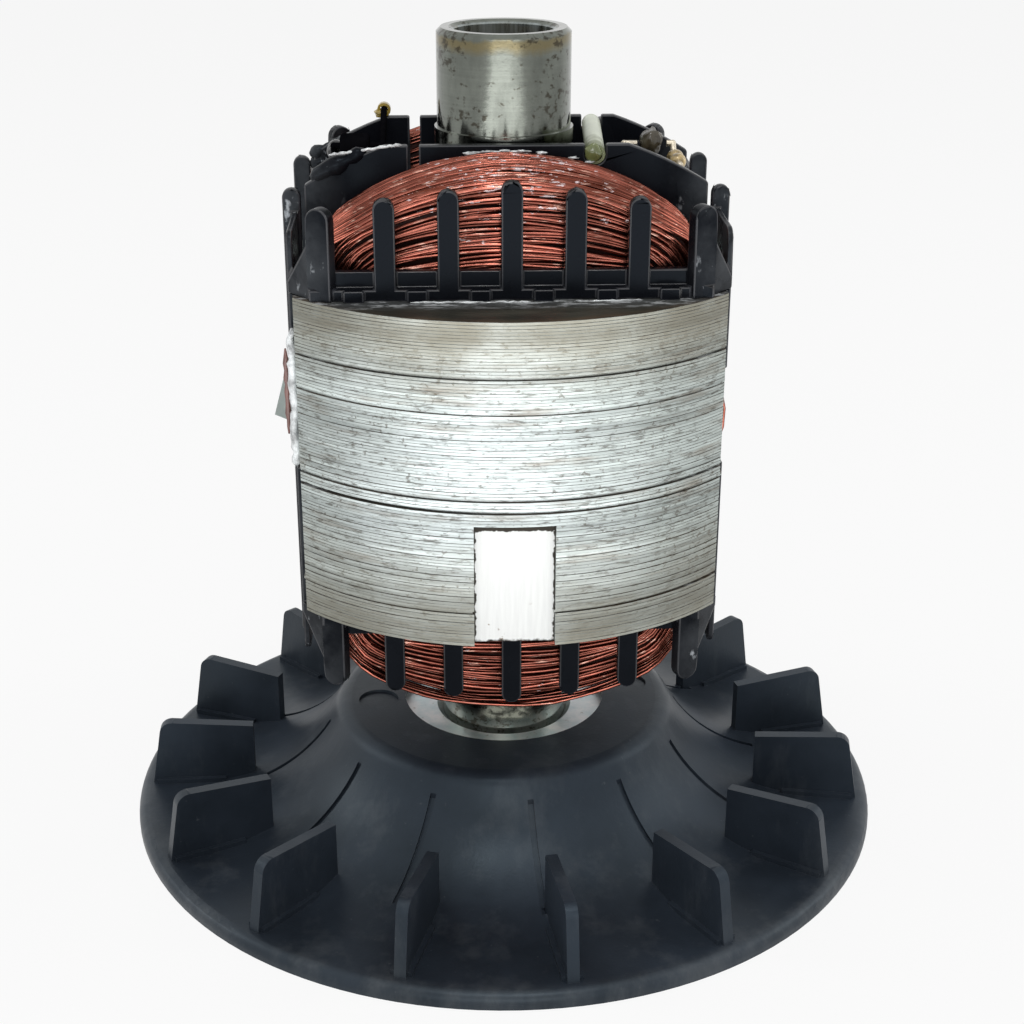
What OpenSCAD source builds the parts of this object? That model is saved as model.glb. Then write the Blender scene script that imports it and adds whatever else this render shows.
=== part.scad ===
// Two-pole generator rotor: a laminated core with two salient poles on a hollow
// steel shaft, two coils of enamelled wire held by moulded end insulators, a diode
// for each coil, and a moulded cooling fan on a steel bush at the drive end.
// Origin: centre of the plane that the fan's rim stands on. The shaft's axis is +Z
// and the front pole faces -Y.

/* [Shaft] */
// Diameter of the shaft's body, which carries the core and the fan
shaft_d = 26; // [22:0.5:30]
// Diameter of the bearing seat at the top end
seat_d = 25; // [20:0.5:25.5]
// Length of the bearing seat
seat_len = 18; // [10:0.5:20]
// Height of the shaft's top end above the core
shaft_above = 41; // [36:0.5:55]
// Height of the shaft's lower end above the rim's plane
shaft_foot = 1; // [0.5:0.5:8]
// Diameter of the open bore at the top end
counterbore_d = 18.8; // [14:0.1:19]
// Depth of the open bore at the top end
counterbore_len = 24; // [10:1:40]
// Diameter of the through hole for the drawbolt
drawbolt_d = 10.5; // [6:0.1:12]
// Diameter of the drive taper at the lower end
taper_big_d = 20.5; // [18:0.1:21.5]
// Diameter of the drive taper at its inner end
taper_small_d = 14; // [12.5:0.1:17]
// Length of the drive taper
taper_len = 46; // [25:1:55]
// Chamfer on the shaft's ends
shaft_chamfer = 0.8; // [0.2:0.1:1.2]

/* [Core] */
// Diameter over the two pole faces
pole_d = 104; // [98:0.5:116]
// Width of a pole shoe, from tip to tip
pole_w = 76; // [72:0.5:80]
// Thickness of a pole shoe at its tips
tip_t = 2.5; // [1.5:0.1:4]
// Width of the neck that carries the poles
neck_w = 40; // [36:0.5:46]
// Height of the stack of sheets
stack_h = 60; // [50:1:80]
// Height of the core's lower face above the rim's plane
core_z = 59; // [54:0.5:75]
// Distance between two visible joints of the stack
sheet_pitch = 2.5; // [2:0.5:5]
// Height of a joint that stands open
joint_gap = 0.3; // [0.1:0.05:0.5]
// Depth of a joint that stands open
joint_depth = 0.3; // [0.1:0.05:0.6]
// Width of the balancing pocket milled into the front pole
pocket_w = 14.4; // [8:0.1:20]
// Height of the balancing pocket, from the core's lower face
pocket_h = 23.3; // [12:0.1:30]
// Depth of the balancing pocket
pocket_depth = 2.5; // [1:0.1:4]

/* [End insulators] */
// Thickness of the floor on the core's end face
floor_t = 2; // [1.5:0.1:3]
// Thickness of the skirts that line the slots
skirt_t = 1.2; // [0.8:0.1:1.6]
// Thickness of the inner walls beside the shaft
wall_t = 1.8; // [1.2:0.1:2.4]
// Height of the inner walls above the core, at the middle
wall_h = 22.2; // [20:0.1:22.6]
// Distance from the pole's tips to the ends of the inner walls
wall_setback = 1.4; // [1:0.1:3]
// Distance from the pole's tips to the ends of the walls' flat top
wall_slope = 16; // [12:0.5:18]
// Fall of the inner walls' top edge from the flat top to the ends
wall_fall = 7; // [4:0.1:8]
// Width of the ears beyond the walls' ends
ear_w = 3.3; // [2:0.1:4]
// Height of the ears above the core
ear_h = 14.6; // [10:0.1:16]
// Gap between a wall's end and its ear
ear_gap = 0.8; // [0.4:0.1:1.2]
// Clearance between the inner walls and the shaft
shaft_gap = 0.6; // [0.3:0.1:1.5]
// Gap between the upper and the lower skirts
skirt_seam = 0.4; // [0.2:0.1:1]
// Width of a retaining finger
finger_w = 3.7; // [3:0.1:5]
// Width of the two end fingers of a row
end_finger_w = 4.4; // [3:0.1:5.5]
// Thickness of a finger
finger_t = 2.4; // [1.6:0.1:3]
// Distance from the pole's tips to the ends of a finger row
row_setback = 3.1; // [2:0.1:6]
// Fingers on each side of a row's middle finger
finger_side = 3; // [2:1:3]
// Height of the middle finger above the upper end of the core
upper_finger_h = 20.5; // [16:0.5:22]
// Length of the middle finger below the lower end of the core
lower_finger_h = 18.7; // [15:0.5:21]
// Fall from one finger to the next
finger_fall = 1.45; // [0:0.05:2]
// Height of the ledge behind the fingers
ledge_h = 4.7; // [3:0.1:6]
// Thickness of the ledge
ledge_t = 1.6; // [1:0.1:2]
// Clearance between the fingers and the pole's tips, along the pole
finger_setback = 0.5; // [0.2:0.1:2]
// Width of the small tabs at the feet of the fingers
tab_w = 3.6; // [2:0.1:5]
// Thickness of the side plates over the slots
plate_t = 1; // [0.8:0.1:2]
// Height of the side plates beyond the core's end faces
plate_h = 10.5; // [8:0.1:14]
// Reach of the upper side plates down over the slots
upper_plate_in = 15; // [8:0.5:24]
// Reach of the lower side plates up over the slots
lower_plate_in = 27; // [8:0.5:29]
// Turn of the end fingers towards the outside
end_finger_turn = 25; // [0:1:30]
// Thickness of the web between the side plate and the end finger
web_t = 1.4; // [1:0.1:2]
// Height of that web at the end finger
web_h = 10; // [6:0.5:12]
// Height of that web at the side plate
web_low = 2; // [1:0.1:6]
// Width of the left slit in the inner walls
slit_w = 2; // [1:0.1:4]
// Depth of the left slit
slit_depth = 12; // [6:0.5:15]
// Distance of the slits from the middle
slit_x = 16.8; // [15.5:0.1:18]
// Height of the diode shelves' upper face above the core
shelf_h = 17; // [14:0.1:17.5]

/* [Coils] */
// Height of the end turns above the core
coil_h = 21.3; // [18.5:0.1:24]
// Distance from the pole's tips to the coils' sides
coil_setback = 2; // [1.5:0.1:4]
// Outer radius of the coils' corners
coil_corner_r = 16; // [12:0.5:17]
// Reach of the coils' bulge between the side plates, past the coils' sides
bulge_reach = 3.2; // [1:0.1:4]
// Clearance between a coil and what it lies against
coil_gap = 0.2; // [0.1:0.05:0.4]
// Distance between two ridges of turns
turn_pitch = 1.8; // [1.4:0.1:3]
// Height of a ridge of turns
turn_depth = 0.35; // [0.2:0.05:0.5]

/* [Leads] */
// Diameter of a diode
diode_d = 4.6; // [4:0.1:5.5]
// Length of a diode
diode_len = 5.6; // [5:0.1:6]
// Distance from the ends of the inner walls to the diodes' middle
diode_setback = 8.7; // [8:0.1:9.5]
// Diameter of a lead
lead_d = 1.2; // [0.8:0.1:1.4]
// Height of the leads' holes through the inner walls, above the core
lead_hole_h = 8.5; // [6:0.5:11]
// Outer diameter of the sleeve on the wire that links the coils
link_sleeve_d = 3.6; // [2.5:0.1:4]
// Turn of that sleeve from the straight way across
link_turn = -3.3; // [-5:0.1:5]
// Wall of the sleeves
sleeve_wall = 0.5; // [0.3:0.05:0.8]
// Clearance between a sleeve and its notch
sleeve_gap = 0.1; // [0.05:0.05:0.3]
// Diameter of a lump of solder
solder_d = 3.2; // [2.5:0.1:3.6]
// Thickness of the insulating films in the slots
film_t = 0.5; // [0.3:0.05:0.8]
// Reach of the left film's loose corner past the side plates
film_reach = 7.8; // [1:0.1:10]

/* [Fan] */
// Diameter of the fan
fan_d = 156; // [148:1:176]
// Height of the disc's upper face above the rim's plane
disc_top = 3; // [2.8:0.1:5]
// Wall thickness of the fan
fan_wall = 2.2; // [1.6:0.1:2.6]
// Width of the rim's foot
rim_foot = 3; // [2:0.1:5]
// Rounding of the rim's upper edge
rim_round = 2.2; // [1:0.1:3]
// Height of the hub's flat top above the rim's plane
hub_top = 22; // [18:0.1:24]
// Radius of the bell's hollow flare
flare_r = 32; // [26:0.5:38]
// Radius at which the flare runs out into the disc
flare_end = 64; // [62:0.5:68]
// Rounding of the bell's shoulder
shoulder_r = 4; // [3.4:0.1:6]
// Number of blades
blade_count = 15; // [9:1:18]
// Thickness of a blade
blade_t = 2.3; // [1.6:0.1:3]
// Radius of the blades' inner edge
blade_in = 53.5; // [50:0.5:60]
// Distance from the blades' outer foot to the rim
blade_margin = 2.6; // [1.5:0.1:6]
// Lean of the blades' outer edge towards the hub
blade_lean = 2.2; // [0:0.1:4]
// Height of the blades' inner corner above the disc
blade_in_h = 12.9; // [8:0.1:16]
// Height of the blades above the disc
blade_h = 14.2; // [10:0.1:20]
// Rounding of the blades' outer corner
blade_round = 2.6; // [1:0.1:4]
// Width of the bead along a blade's foot
bead_w = 4.2; // [3:0.1:6]
// Height of that bead above the disc
bead_h = 1; // [0.4:0.1:1.5]
// Turn of the first blade from the front pole
blade_turn = -16.6; // [-24:0.1:24]
// Number of fine grooves down the bell
groove_count = 12; // [6:1:15]
// Width of a fine groove
groove_w = 1.2; // [0.8:0.1:2]
// Depth of a fine groove
groove_depth = 0.6; // [0.3:0.1:1]
// Turn of the first groove from the front pole
groove_turn = 5.9; // [-15:0.1:15]
// Diameter of the two ejector marks on the hub's top
mark_d = 8.4; // [5:0.1:9]
// Depth of an ejector mark
mark_depth = 0.5; // [0.2:0.1:1]

/* [Fan bush] */
// Diameter of the bush's flange
flange_d = 42; // [40:0.5:44]
// Thickness of the flange
flange_t = 3; // [2:0.1:4]
// Depth of the flange below the hub's top
flange_sink = 2.4; // [1:0.1:3]
// Diameter of the bush below its flange
bush_d = 36; // [32:0.5:38]
// Chamfer of the bush's bore
bush_chamfer = 1.2; // [0.3:0.1:1.5]
// Reach of the fan's boss past the bush's flange
boss_t = 3; // [2:0.5:6]
// Height of the boss's lower end above the rim's plane
boss_foot = 2; // [1:0.5:6]

/* [Hidden] */
$fn = 96;
// Overlap of fused shapes, and overrun of cuts
lap = 0.4;
over = 1;

shaft_r = shaft_d / 2;
core_top = core_z + stack_h;
core_mid = core_z + stack_h / 2;
shaft_top = core_top + shaft_above;
seat_z = shaft_top - seat_len;

pole_r = pole_d / 2;
tip_x = pole_w / 2;
tip_y = sqrt(pole_r * pole_r - tip_x * tip_x);
shoe_y = tip_y - tip_t;
neck_x = neck_w / 2;

// Planes of the end insulators, as distances from the middle planes
wall_y0 = shaft_r + shaft_gap;
wall_y1 = wall_y0 + wall_t;
wall_x1 = tip_x - wall_setback;
wall_flat = tip_x - wall_slope;
wall_end_h = wall_h - wall_fall;
wall_arc_h = (wall_flat * wall_flat + wall_h * wall_h - wall_x1 * wall_x1
    - wall_end_h * wall_end_h) / (2 * wall_fall);
wall_arc_r = norm([wall_flat, wall_h - wall_arc_h]);
ear_x1 = wall_x1 + ear_gap + ear_w;
liner_x = neck_x + skirt_t;
liner_y = shoe_y - skirt_t;
finger_y0 = tip_y + finger_setback;
finger_y1 = finger_y0 + finger_t;
ledge_y0 = finger_y0 - ledge_t;
row_x = tip_x - row_setback;
finger_pitch = (row_x - end_finger_w / 2) / finger_side;
end_finger_x = finger_side * finger_pitch;
end_finger_y = finger_y0 + finger_t / 2;
skirt_len = (stack_h - skirt_seam) / 2;

// Limits of the coils, as distances from the middle planes
coil_x0 = liner_x + coil_gap;
coil_x1 = tip_x - coil_setback;
coil_y0 = wall_y1 + coil_gap;
coil_y1 = liner_y - coil_gap;
bulge_y1 = ledge_y0 - coil_gap;
bulge_x = row_x - end_finger_w / 2;
coil_inner_z = stack_h / 2 + floor_t + coil_gap;

// Arch of the end turns: corner arcs that run into one wide crown arc
spring_z = stack_h / 2 - turn_pitch / 2;
apex_z = stack_h / 2 + coil_h;
corner_x = coil_x1 - coil_corner_r;
crown_rise = apex_z - spring_z - coil_corner_r;
crown_reach = (corner_x * corner_x + crown_rise * crown_rise) / (2 * crown_rise);
crown_r = crown_reach + coil_corner_r;
crown_z = apex_z - crown_r;
crown_half = asin(corner_x / crown_reach);
// The crown lies this much lower, so that its arc crosses the corner arcs cleanly
crown_seam = 0.03;

// Side plates outside the coils
plate_x0 = tip_x;
plate_x1 = plate_x0 + plate_t;
plate_y1 = coil_y1;
plate_round = 2.5;

// Bulge of the coils in the window between the side plates
window_mid = (lower_plate_in - upper_plate_in) / 2;
window_half = (stack_h - lower_plate_in - upper_plate_in) / 2;
bulge_r = (window_half * window_half + bulge_reach * bulge_reach) / (2 * bulge_reach);

// Height of a coil's upper face over a distance from its middle
function coil_top(x) = core_mid + (abs(x) < crown_r * sin(crown_half)
    ? crown_z + sqrt(crown_r * crown_r - x * x)
    : spring_z + sqrt(pow(coil_corner_r, 2) - pow(abs(x) - corner_x, 2)));

// Height of an inner wall's top edge over a distance from its middle
function wall_top(x) = core_top
    + min(wall_h, wall_arc_h + sqrt(wall_arc_r * wall_arc_r - x * x));

// Leads and diodes
shelf_top = core_top + shelf_h;
diode_x = wall_x1 - diode_setback;
diode_z = shelf_top + diode_d / 2;
lead_r = lead_d / 2;
lead_rest = 0.2;
elbow_swell = 1.08;
lead_in_x = diode_x - diode_len / 2 - 2 * lead_d;
lead_out_x = diode_x + diode_len / 2 + lead_d;
lead_hole_d = lead_d + 3 * lead_rest;
lead_hole_z = core_top + lead_hole_h;
lead_sleeve_r = lead_r + lead_rest + sleeve_wall;
lead_over_z = wall_top(lead_in_x - lead_sleeve_r) + lead_sleeve_r;
lead_land_y = coil_y0 + 2.5;
link_hole_d = link_sleeve_d - 2 * sleeve_wall;
link_notch_r = link_sleeve_d / 2 + sleeve_gap;
link_z = core_top + wall_h - link_sleeve_d / 2;
solder_z = diode_z - solder_d * 0.6;
solder_y = [-1.3 * solder_d, -2.4 * solder_d];

// Fan
fan_r = fan_d / 2;
flange_r = flange_d / 2;
bush_r = bush_d / 2;
boss_r = flange_r + boss_t;
flange_top = hub_top - flange_sink;
bell_turn = acos(1 - (hub_top - disc_top) / (flare_r + shoulder_r));
hub_flat_r = flare_end - (flare_r + shoulder_r) * sin(bell_turn);
flare_centre = [flare_end, disc_top + flare_r];
shoulder_centre = [hub_flat_r, hub_top - shoulder_r];
blade_out = fan_r - blade_margin;
mark_r = (flange_r + hub_flat_r) / 2;
groove_in = flare_end - flare_r * sin(bell_turn) + groove_w;
groove_out = flare_end - 2 * bead_w;

// A box between two corners
module box(low, high) {
    translate(low) cube(high - low);
}

// A copy on each side of the shaft, left and right
module left_and_right() {
    children();
    mirror([1, 0, 0]) children();
}

// A copy at each pole, front and rear
module front_and_rear() {
    children();
    mirror([0, 1, 0]) children();
}

// A flat shape drawn in X and Z, thickened backwards from the plane y
module upright(y, depth) {
    translate([0, y + depth, 0]) rotate([90, 0, 0]) linear_extrude(depth) children();
}

// A round rod between two points
module rod(a, b, d) {
    run = b - a;
    turn = [0, acos(run.z / norm(run)), atan2(run.y, run.x)];
    translate(a) rotate(turn) cylinder(d = d, h = norm(run));
}

// A round wire along a bent line, with round elbows
module bent_wire(points, d) {
    last = len(points) - 1;
    for (i = [1 : last]) rod(points[i - 1], points[i], d);
    for (i = [1 : last - 1]) translate(points[i]) sphere(d = elbow_swell * d);
}

// Hollow shaft, turned: bearing seat, open bore, drawbolt hole and drive taper
module shaft() {
    color("lightgray") rotate_extrude() polygon([
        [taper_big_d / 2, shaft_foot],
        [shaft_r - shaft_chamfer, shaft_foot],
        [shaft_r, shaft_foot + shaft_chamfer],
        [shaft_r, seat_z],
        [seat_d / 2, seat_z],
        [seat_d / 2, shaft_top - shaft_chamfer],
        [seat_d / 2 - shaft_chamfer, shaft_top],
        [counterbore_d / 2 + shaft_chamfer, shaft_top],
        [counterbore_d / 2, shaft_top - shaft_chamfer],
        [counterbore_d / 2, shaft_top - counterbore_len],
        [drawbolt_d / 2, shaft_top - counterbore_len],
        [drawbolt_d / 2, shaft_foot + taper_len],
        [taper_small_d / 2, shaft_foot + taper_len]
    ]);
}

// Outline of one sheet of the core
module sheet_outline() {
    difference() {
        intersection() {
            circle(pole_r);
            union() {
                square([neck_w, pole_d], center = true);
                front_and_rear() translate([-tip_x, -pole_r]) square([pole_w, pole_r - shoe_y]);
            }
        }
        circle(shaft_r);
    }
}

// Stack of sheets with its open joints and the balancing pocket
module lamination_core() {
    color("silver") difference() {
        translate([0, 0, core_z]) linear_extrude(stack_h) sheet_outline();
        for (z = [sheet_pitch : sheet_pitch : stack_h - sheet_pitch])
            translate([0, 0, core_z + z]) linear_extrude(joint_gap) difference() {
                circle(pole_r + over);
                circle(pole_r - joint_depth);
            }
        box([-pocket_w / 2, -pole_r - over, core_z - over],
            [pocket_w / 2, pocket_depth - pole_r, core_z + pocket_h]);
    }
}

// One finger of a row, with a round tip
module finger(x, width, height) {
    translate([x, 0]) {
        translate([-width / 2, 0]) square([width, height - width / 2]);
        translate([0, height - width / 2]) circle(d = width);
    }
}

// Row of fingers along a pole's chord, with the ledge and the foot tabs
module finger_row(middle_h) {
    upright(-finger_y1, finger_t) for (i = [1 - finger_side : finger_side - 1])
        finger(i * finger_pitch, finger_w, middle_h - abs(i) * finger_fall);
    left_and_right() translate([end_finger_x, -end_finger_y, 0]) rotate([0, 0, end_finger_turn])
        upright(-finger_t / 2, finger_t)
            finger(0, end_finger_w, middle_h - finger_side * finger_fall);
    box([-row_x, -finger_y0 - lap, 0], [row_x, -ledge_y0, ledge_h]);
    for (i = [-finger_side : finger_side - 1]) {
        x = (i + 0.5) * finger_pitch;
        box([x - tab_w / 2, -finger_y1 - tab_w / 4, 0], [x + tab_w / 2, -finger_y0, floor_t]);
    }
}

// Inner wall beside the shaft: a flat top that falls at the ends, and a round ear past each end
module inner_wall() {
    upright(-wall_y1, wall_t) {
        intersection() {
            translate([-wall_x1, 0]) square([2 * wall_x1, wall_h]);
            translate([0, wall_arc_h]) circle(wall_arc_r);
        }
        left_and_right() finger(ear_x1 - ear_w / 2, ear_w, ear_h);
    }
}

// Thin web from the side plate to the end finger, with a sloping edge
module end_web() {
    at_finger = [end_finger_x + over, -end_finger_y];
    at_plate = [plate_x0 + 0.8 * plate_t, -plate_y1 + lap];
    run = at_plate - at_finger;
    side = web_t / 2 * [-run.y, run.x] / norm(run);
    intersection() {
        linear_extrude(web_h)
            polygon([at_finger - side, at_plate - side, at_plate + side, at_finger + side]);
        upright(-finger_y1 - over, finger_y1) polygon([
            [end_finger_x, 0],
            [plate_x1, 0],
            [plate_x1, web_low],
            [end_finger_x + end_finger_w / 2, web_h],
            [end_finger_x, web_h]
        ]);
    }
}

// Side plate over one slot, with its web to the end finger
module side_plate(reach_in) {
    translate([plate_x0, 0, 0]) rotate([90, 0, 90]) linear_extrude(plate_t) {
        translate([-plate_y1, -reach_in]) square([plate_y1 - wall_y0, reach_in + plate_h - plate_round]);
        translate([-plate_y1 + plate_round, 0])
            square([plate_y1 - wall_y0 - 2 * plate_round, plate_h]);
        for (y = [-plate_y1 + plate_round, -wall_y0 - plate_round])
            translate([y, plate_h - plate_round]) circle(plate_round);
    }
    end_web();
}

// One end insulator, drawn outwards from the core's end face at z = 0
module end_insulator(middle_finger_h, plate_in) {
    front_and_rear() {
        finger_row(middle_finger_h);
        inner_wall();
        box([-row_x, -finger_y1, 0], [row_x, -liner_y, floor_t]);
        left_and_right() {
            box([neck_x, -shoe_y, -skirt_len], [liner_x, 0, floor_t]);
            box([neck_x, -wall_y1, -skirt_len], [ear_x1, -wall_y0, floor_t]);
            box([neck_x, -shoe_y, -skirt_len], [tip_x, -liner_y, floor_t]);
            side_plate(plate_in);
        }
    }
    difference() {
        box([-liner_x, -finger_y1, 0], [liner_x, finger_y1, floor_t]);
        translate([0, 0, -over]) cylinder(r = shaft_r + shaft_gap, h = floor_t + 2 * over);
    }
}

// Shelf that carries a diode between the two inner walls
module diode_shelf() {
    box([diode_x - diode_len / 2, -wall_y0 - lap, shelf_h - floor_t],
        [diode_x + diode_len / 4, wall_y0 + lap, shelf_h]);
}

// Cuts in the upper inner walls: a slit on the left, a sleeve notch on the right, lead holes
module wall_cuts() {
    reach = wall_y1 + over;
    slit_foot = core_top + wall_h - slit_depth;
    front_and_rear() box([-slit_x - slit_w / 2, -reach, slit_foot],
        [-slit_x + slit_w / 2, -wall_y0 + over, slit_foot + slit_depth + over]);
    along_link() {
        rod([0, -reach, 0], [0, reach, 0], 2 * link_notch_r);
        box([-link_notch_r, -reach, 0], [link_notch_r, reach, link_sleeve_d]);
    }
    lead_hole(lead_in_x);
    lead_hole(lead_out_x);
    to_left() lead_hole(lead_out_x);
}

// Hole for a lead through the front wall
module lead_hole(x) {
    rod([x, -wall_y1 - over, lead_hole_z], [x, over - wall_y0, lead_hole_z], lead_hole_d);
}

module upper_end_insulator() {
    color("#26292e") difference() {
        translate([0, 0, core_top]) {
            end_insulator(upper_finger_h, upper_plate_in);
            left_and_right() diode_shelf();
        }
        wall_cuts();
    }
}

module lower_end_insulator() {
    color("#26292e") translate([0, 0, core_z]) mirror([0, 0, 1])
        end_insulator(lower_finger_h, lower_plate_in);
}

// Upper half of the outline of a coil's outermost turn, moved inwards
module half_loop(inset) {
    meet = (crown_r - inset) * [sin(crown_half), cos(crown_half)] + [0, crown_z - lap];
    translate([inset - coil_x1, 0]) square([2 * (coil_x1 - inset), spring_z]);
    left_and_right() translate([corner_x, spring_z]) circle(coil_corner_r - inset);
    polygon([[-corner_x, spring_z], [corner_x, spring_z], meet, [-meet.x, meet.y]]);
    intersection() {
        translate([0, crown_z]) circle(crown_r - inset - crown_seam);
        translate([-meet.x, meet.y]) square([2 * meet.x, apex_z]);
    }
}

// Outline of a whole turn of a coil, moved inwards, with its bulges between the side plates
module loop(inset) {
    half_loop(inset);
    mirror([0, 1]) half_loop(inset);
    left_and_right() translate([coil_x1 + bulge_reach - bulge_r, window_mid]) circle(bulge_r - inset);
}

// Window of a coil, where the neck passes through
module coil_window() {
    square([2 * coil_x0, 2 * coil_inner_z], center = true);
}

// Space at a coil's two ends, between the ledge's ends
module end_space(width) {
    for (side = [0, 1]) mirror([0, side])
        translate([-width, coil_inner_z]) square([2 * width, apex_z]);
}

// Coil of the front pole: a body, ridges of turns round it, and bulged end turns
module coil() {
    ridge_w = turn_pitch * 0.6;
    translate([0, 0, core_mid]) {
        upright(-coil_y1, coil_y1 - coil_y0) difference() {
            loop(turn_depth);
            coil_window();
        }
        for (y = [coil_y0 + turn_pitch / 4 : turn_pitch : coil_y1 - ridge_w])
            upright(-y - ridge_w, ridge_w) difference() {
                loop(0);
                loop(turn_depth + lap);
            }
        upright(turn_depth - bulge_y1, bulge_y1 - coil_y1) intersection() {
            difference() {
                loop(turn_depth);
                coil_window();
            }
            end_space(bulge_x);
        }
        for (inset = [turn_pitch : turn_pitch : coil_corner_r - turn_pitch])
            upright(-bulge_y1, turn_depth + lap) intersection() {
                difference() {
                    loop(inset);
                    loop(inset + ridge_w);
                }
                end_space(bulge_x - lap);
            }
    }
}

module front_coil() {
    color("#8b4a34") coil();
}

module rear_coil() {
    color("#8b4a34") mirror([0, 1, 0]) coil();
}

// Insulating film on the rear wall of a slot, with a loose corner of the given reach
module slot_film(corner_reach) {
    foot = core_z + floor_t;
    upright(wall_y0 - film_t, film_t) polygon([
        [coil_x0, foot],
        [plate_x1, foot],
        [plate_x1, core_mid - stack_h / 5],
        [plate_x1 + corner_reach, core_mid - stack_h / 7],
        [plate_x1, core_mid + stack_h / 3],
        [plate_x1, core_top - floor_t],
        [coil_x0, core_top - floor_t]
    ]);
}

module left_slot_film() {
    color("#a9b3a4") mirror([1, 0, 0]) slot_film(film_reach);
}

module right_slot_film() {
    color("#a9b3a4") slot_film(0);
}

// Diode on the right shelf, a round body with domed shoulders
module diode() {
    shoulder = diode_d / 5;
    translate([diode_x - diode_len / 2, 0, diode_z]) rotate([0, 90, 0]) rotate_extrude() {
        square([diode_d / 2 - shoulder, diode_len]);
        translate([0, shoulder]) square([diode_d / 2, diode_len - 2 * shoulder]);
        for (z = [shoulder, diode_len - shoulder])
            translate([diode_d / 2 - shoulder, z]) circle(shoulder);
    }
}

// Outer lead of the right diode: over the solder lumps and through the front wall to the coil
module outer_lead() {
    drop_y = solder_y[1] - solder_d;
    bent_wire([
        [diode_x + diode_len / 2, 0, diode_z],
        [lead_out_x, 0, diode_z],
        [lead_out_x, solder_y[0] + solder_d * 0.7, solder_z],
        [lead_out_x, drop_y, solder_z],
        [lead_out_x, drop_y, lead_hole_z],
        [lead_out_x, -wall_y1, lead_hole_z]
    ], lead_d);
}

// Inner lead through the front wall to the coil
module low_inner_lead() {
    bent_wire([
        [diode_x - diode_len / 2, 0, diode_z],
        [lead_in_x, 0, diode_z],
        [lead_in_x, 0, lead_hole_z],
        [lead_in_x, -wall_y1, lead_hole_z]
    ], lead_d);
}

// Inner lead over the front wall, down to the coil's end turns
module high_inner_lead() {
    bent_wire([
        [diode_x - diode_len / 2, 0, diode_z],
        [lead_in_x, 0, diode_z],
        [lead_in_x, -wall_y0 + lead_d, lead_over_z],
        [lead_in_x, -lead_land_y, lead_over_z],
        [lead_in_x, -lead_land_y, coil_top(lead_in_x - lead_r) + lead_rest]
    ], lead_d);
}

// Sleeve on a high inner lead, on top of the wall
module lead_sleeve() {
    upright(-wall_y1, wall_t) translate([lead_in_x, lead_over_z]) difference() {
        circle(lead_sleeve_r);
        circle(lead_r + lead_rest);
    }
}

// A piece of the right diode's set, turned to the left diode and the rear coil
module to_left() {
    rotate([0, 0, 180]) children();
}

module right_diode() {
    color("#5a4a36") diode();
}

module left_diode() {
    color("#1d1f22") to_left() diode();
}

module right_diode_leads() {
    color("#b08d57") {
        outer_lead();
        low_inner_lead();
    }
}

module left_diode_leads() {
    color("#b08d57") to_left() {
        outer_lead();
        high_inner_lead();
    }
}

module left_lead_sleeve() {
    color("#c9a53a") to_left() lead_sleeve();
}

// Moves a piece drawn along Y to the way from coil to coil, through the notches on the right
module along_link() {
    translate([slit_x, 0, link_z]) rotate([0, 0, link_turn]) children();
}

// Wire that links the two coils
module coil_link_wire() {
    color("#8b4a34") along_link() rod([0, -wall_y1, 0], [0, wall_y1, 0], lead_d);
}

module coil_link_sleeve() {
    color("#cfd8c3") along_link() upright(lead_rest - wall_y1, 2 * (wall_y1 - lead_rest)) difference() {
        circle(d = link_sleeve_d);
        circle(d = link_hole_d);
    }
}

// Lumps of solder on the diodes' outer leads, where the coils' ends meet them
module solder_joints() {
    color("#9c8a5c") for (turn = [0, 180]) rotate([0, 0, turn])
        for (y = solder_y) difference() {
            translate([lead_out_x, y, solder_z]) sphere(d = solder_d);
            rod([lead_out_x, y + solder_d, solder_z], [lead_out_x, y - solder_d, solder_z], lead_d);
        }
}

// Section of the bell under its upper face, grown outwards, from the axis to a radius
module bell_section(grow, reach, foot) {
    join = flare_centre - (flare_r - grow) * [sin(bell_turn), cos(bell_turn)];
    difference() {
        translate([0, foot]) square([flare_end, join.y - foot]);
        translate(flare_centre) circle(flare_r - grow);
    }
    translate([0, foot]) square([hub_flat_r, hub_top + grow - foot]);
    intersection() {
        translate(shoulder_centre) circle(shoulder_r + grow);
        translate([0, join.y]) square([join.x + over, hub_top]);
    }
    translate([0, foot]) square([reach, disc_top + grow - foot]);
}

// Section of the fan's body: bell, disc, rim and boss round the bush
module fan_section() {
    difference() {
        union() {
            bell_section(0, fan_r - rim_round, 0);
            square([fan_r, disc_top - rim_round]);
            intersection() {
                translate([fan_r - rim_round, disc_top - rim_round]) circle(rim_round);
                square([fan_r, disc_top]);
            }
        }
        difference() {
            bell_section(-fan_wall, fan_r - rim_foot, -over);
            translate([0, boss_foot]) square([boss_r, hub_top]);
        }
        square([bush_r, hub_top + over]);
        translate([0, flange_top - flange_t]) square([flange_r, hub_top]);
    }
}

// One blade, with the bead along its foot, at the front
module blade() {
    top = disc_top + blade_h;
    foot = disc_top - fan_wall / 2;
    flare_half = flare_r + fan_wall / 2;
    inner_foot = flare_centre.y - sqrt(flare_half * flare_half - pow(flare_end - blade_in, 2));
    lean = atan(blade_lean / blade_h);
    round_at = [blade_out - blade_lean - blade_round, top - blade_round];
    translate([-blade_t / 2, 0, 0]) rotate([90, 0, 90]) linear_extrude(blade_t) mirror([1, 0]) {
        polygon([
            [blade_in, inner_foot],
            [flare_end, foot],
            [blade_out, foot],
            round_at + blade_round * [cos(lean), sin(lean)],
            round_at,
            round_at + [0, blade_round],
            [blade_in, disc_top + blade_in_h]
        ]);
        translate(round_at) circle(blade_round);
    }
    box([-bead_w / 2, -blade_out + bead_h, foot], [bead_w / 2, -flare_end + bead_w, disc_top + bead_h]);
}

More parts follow.
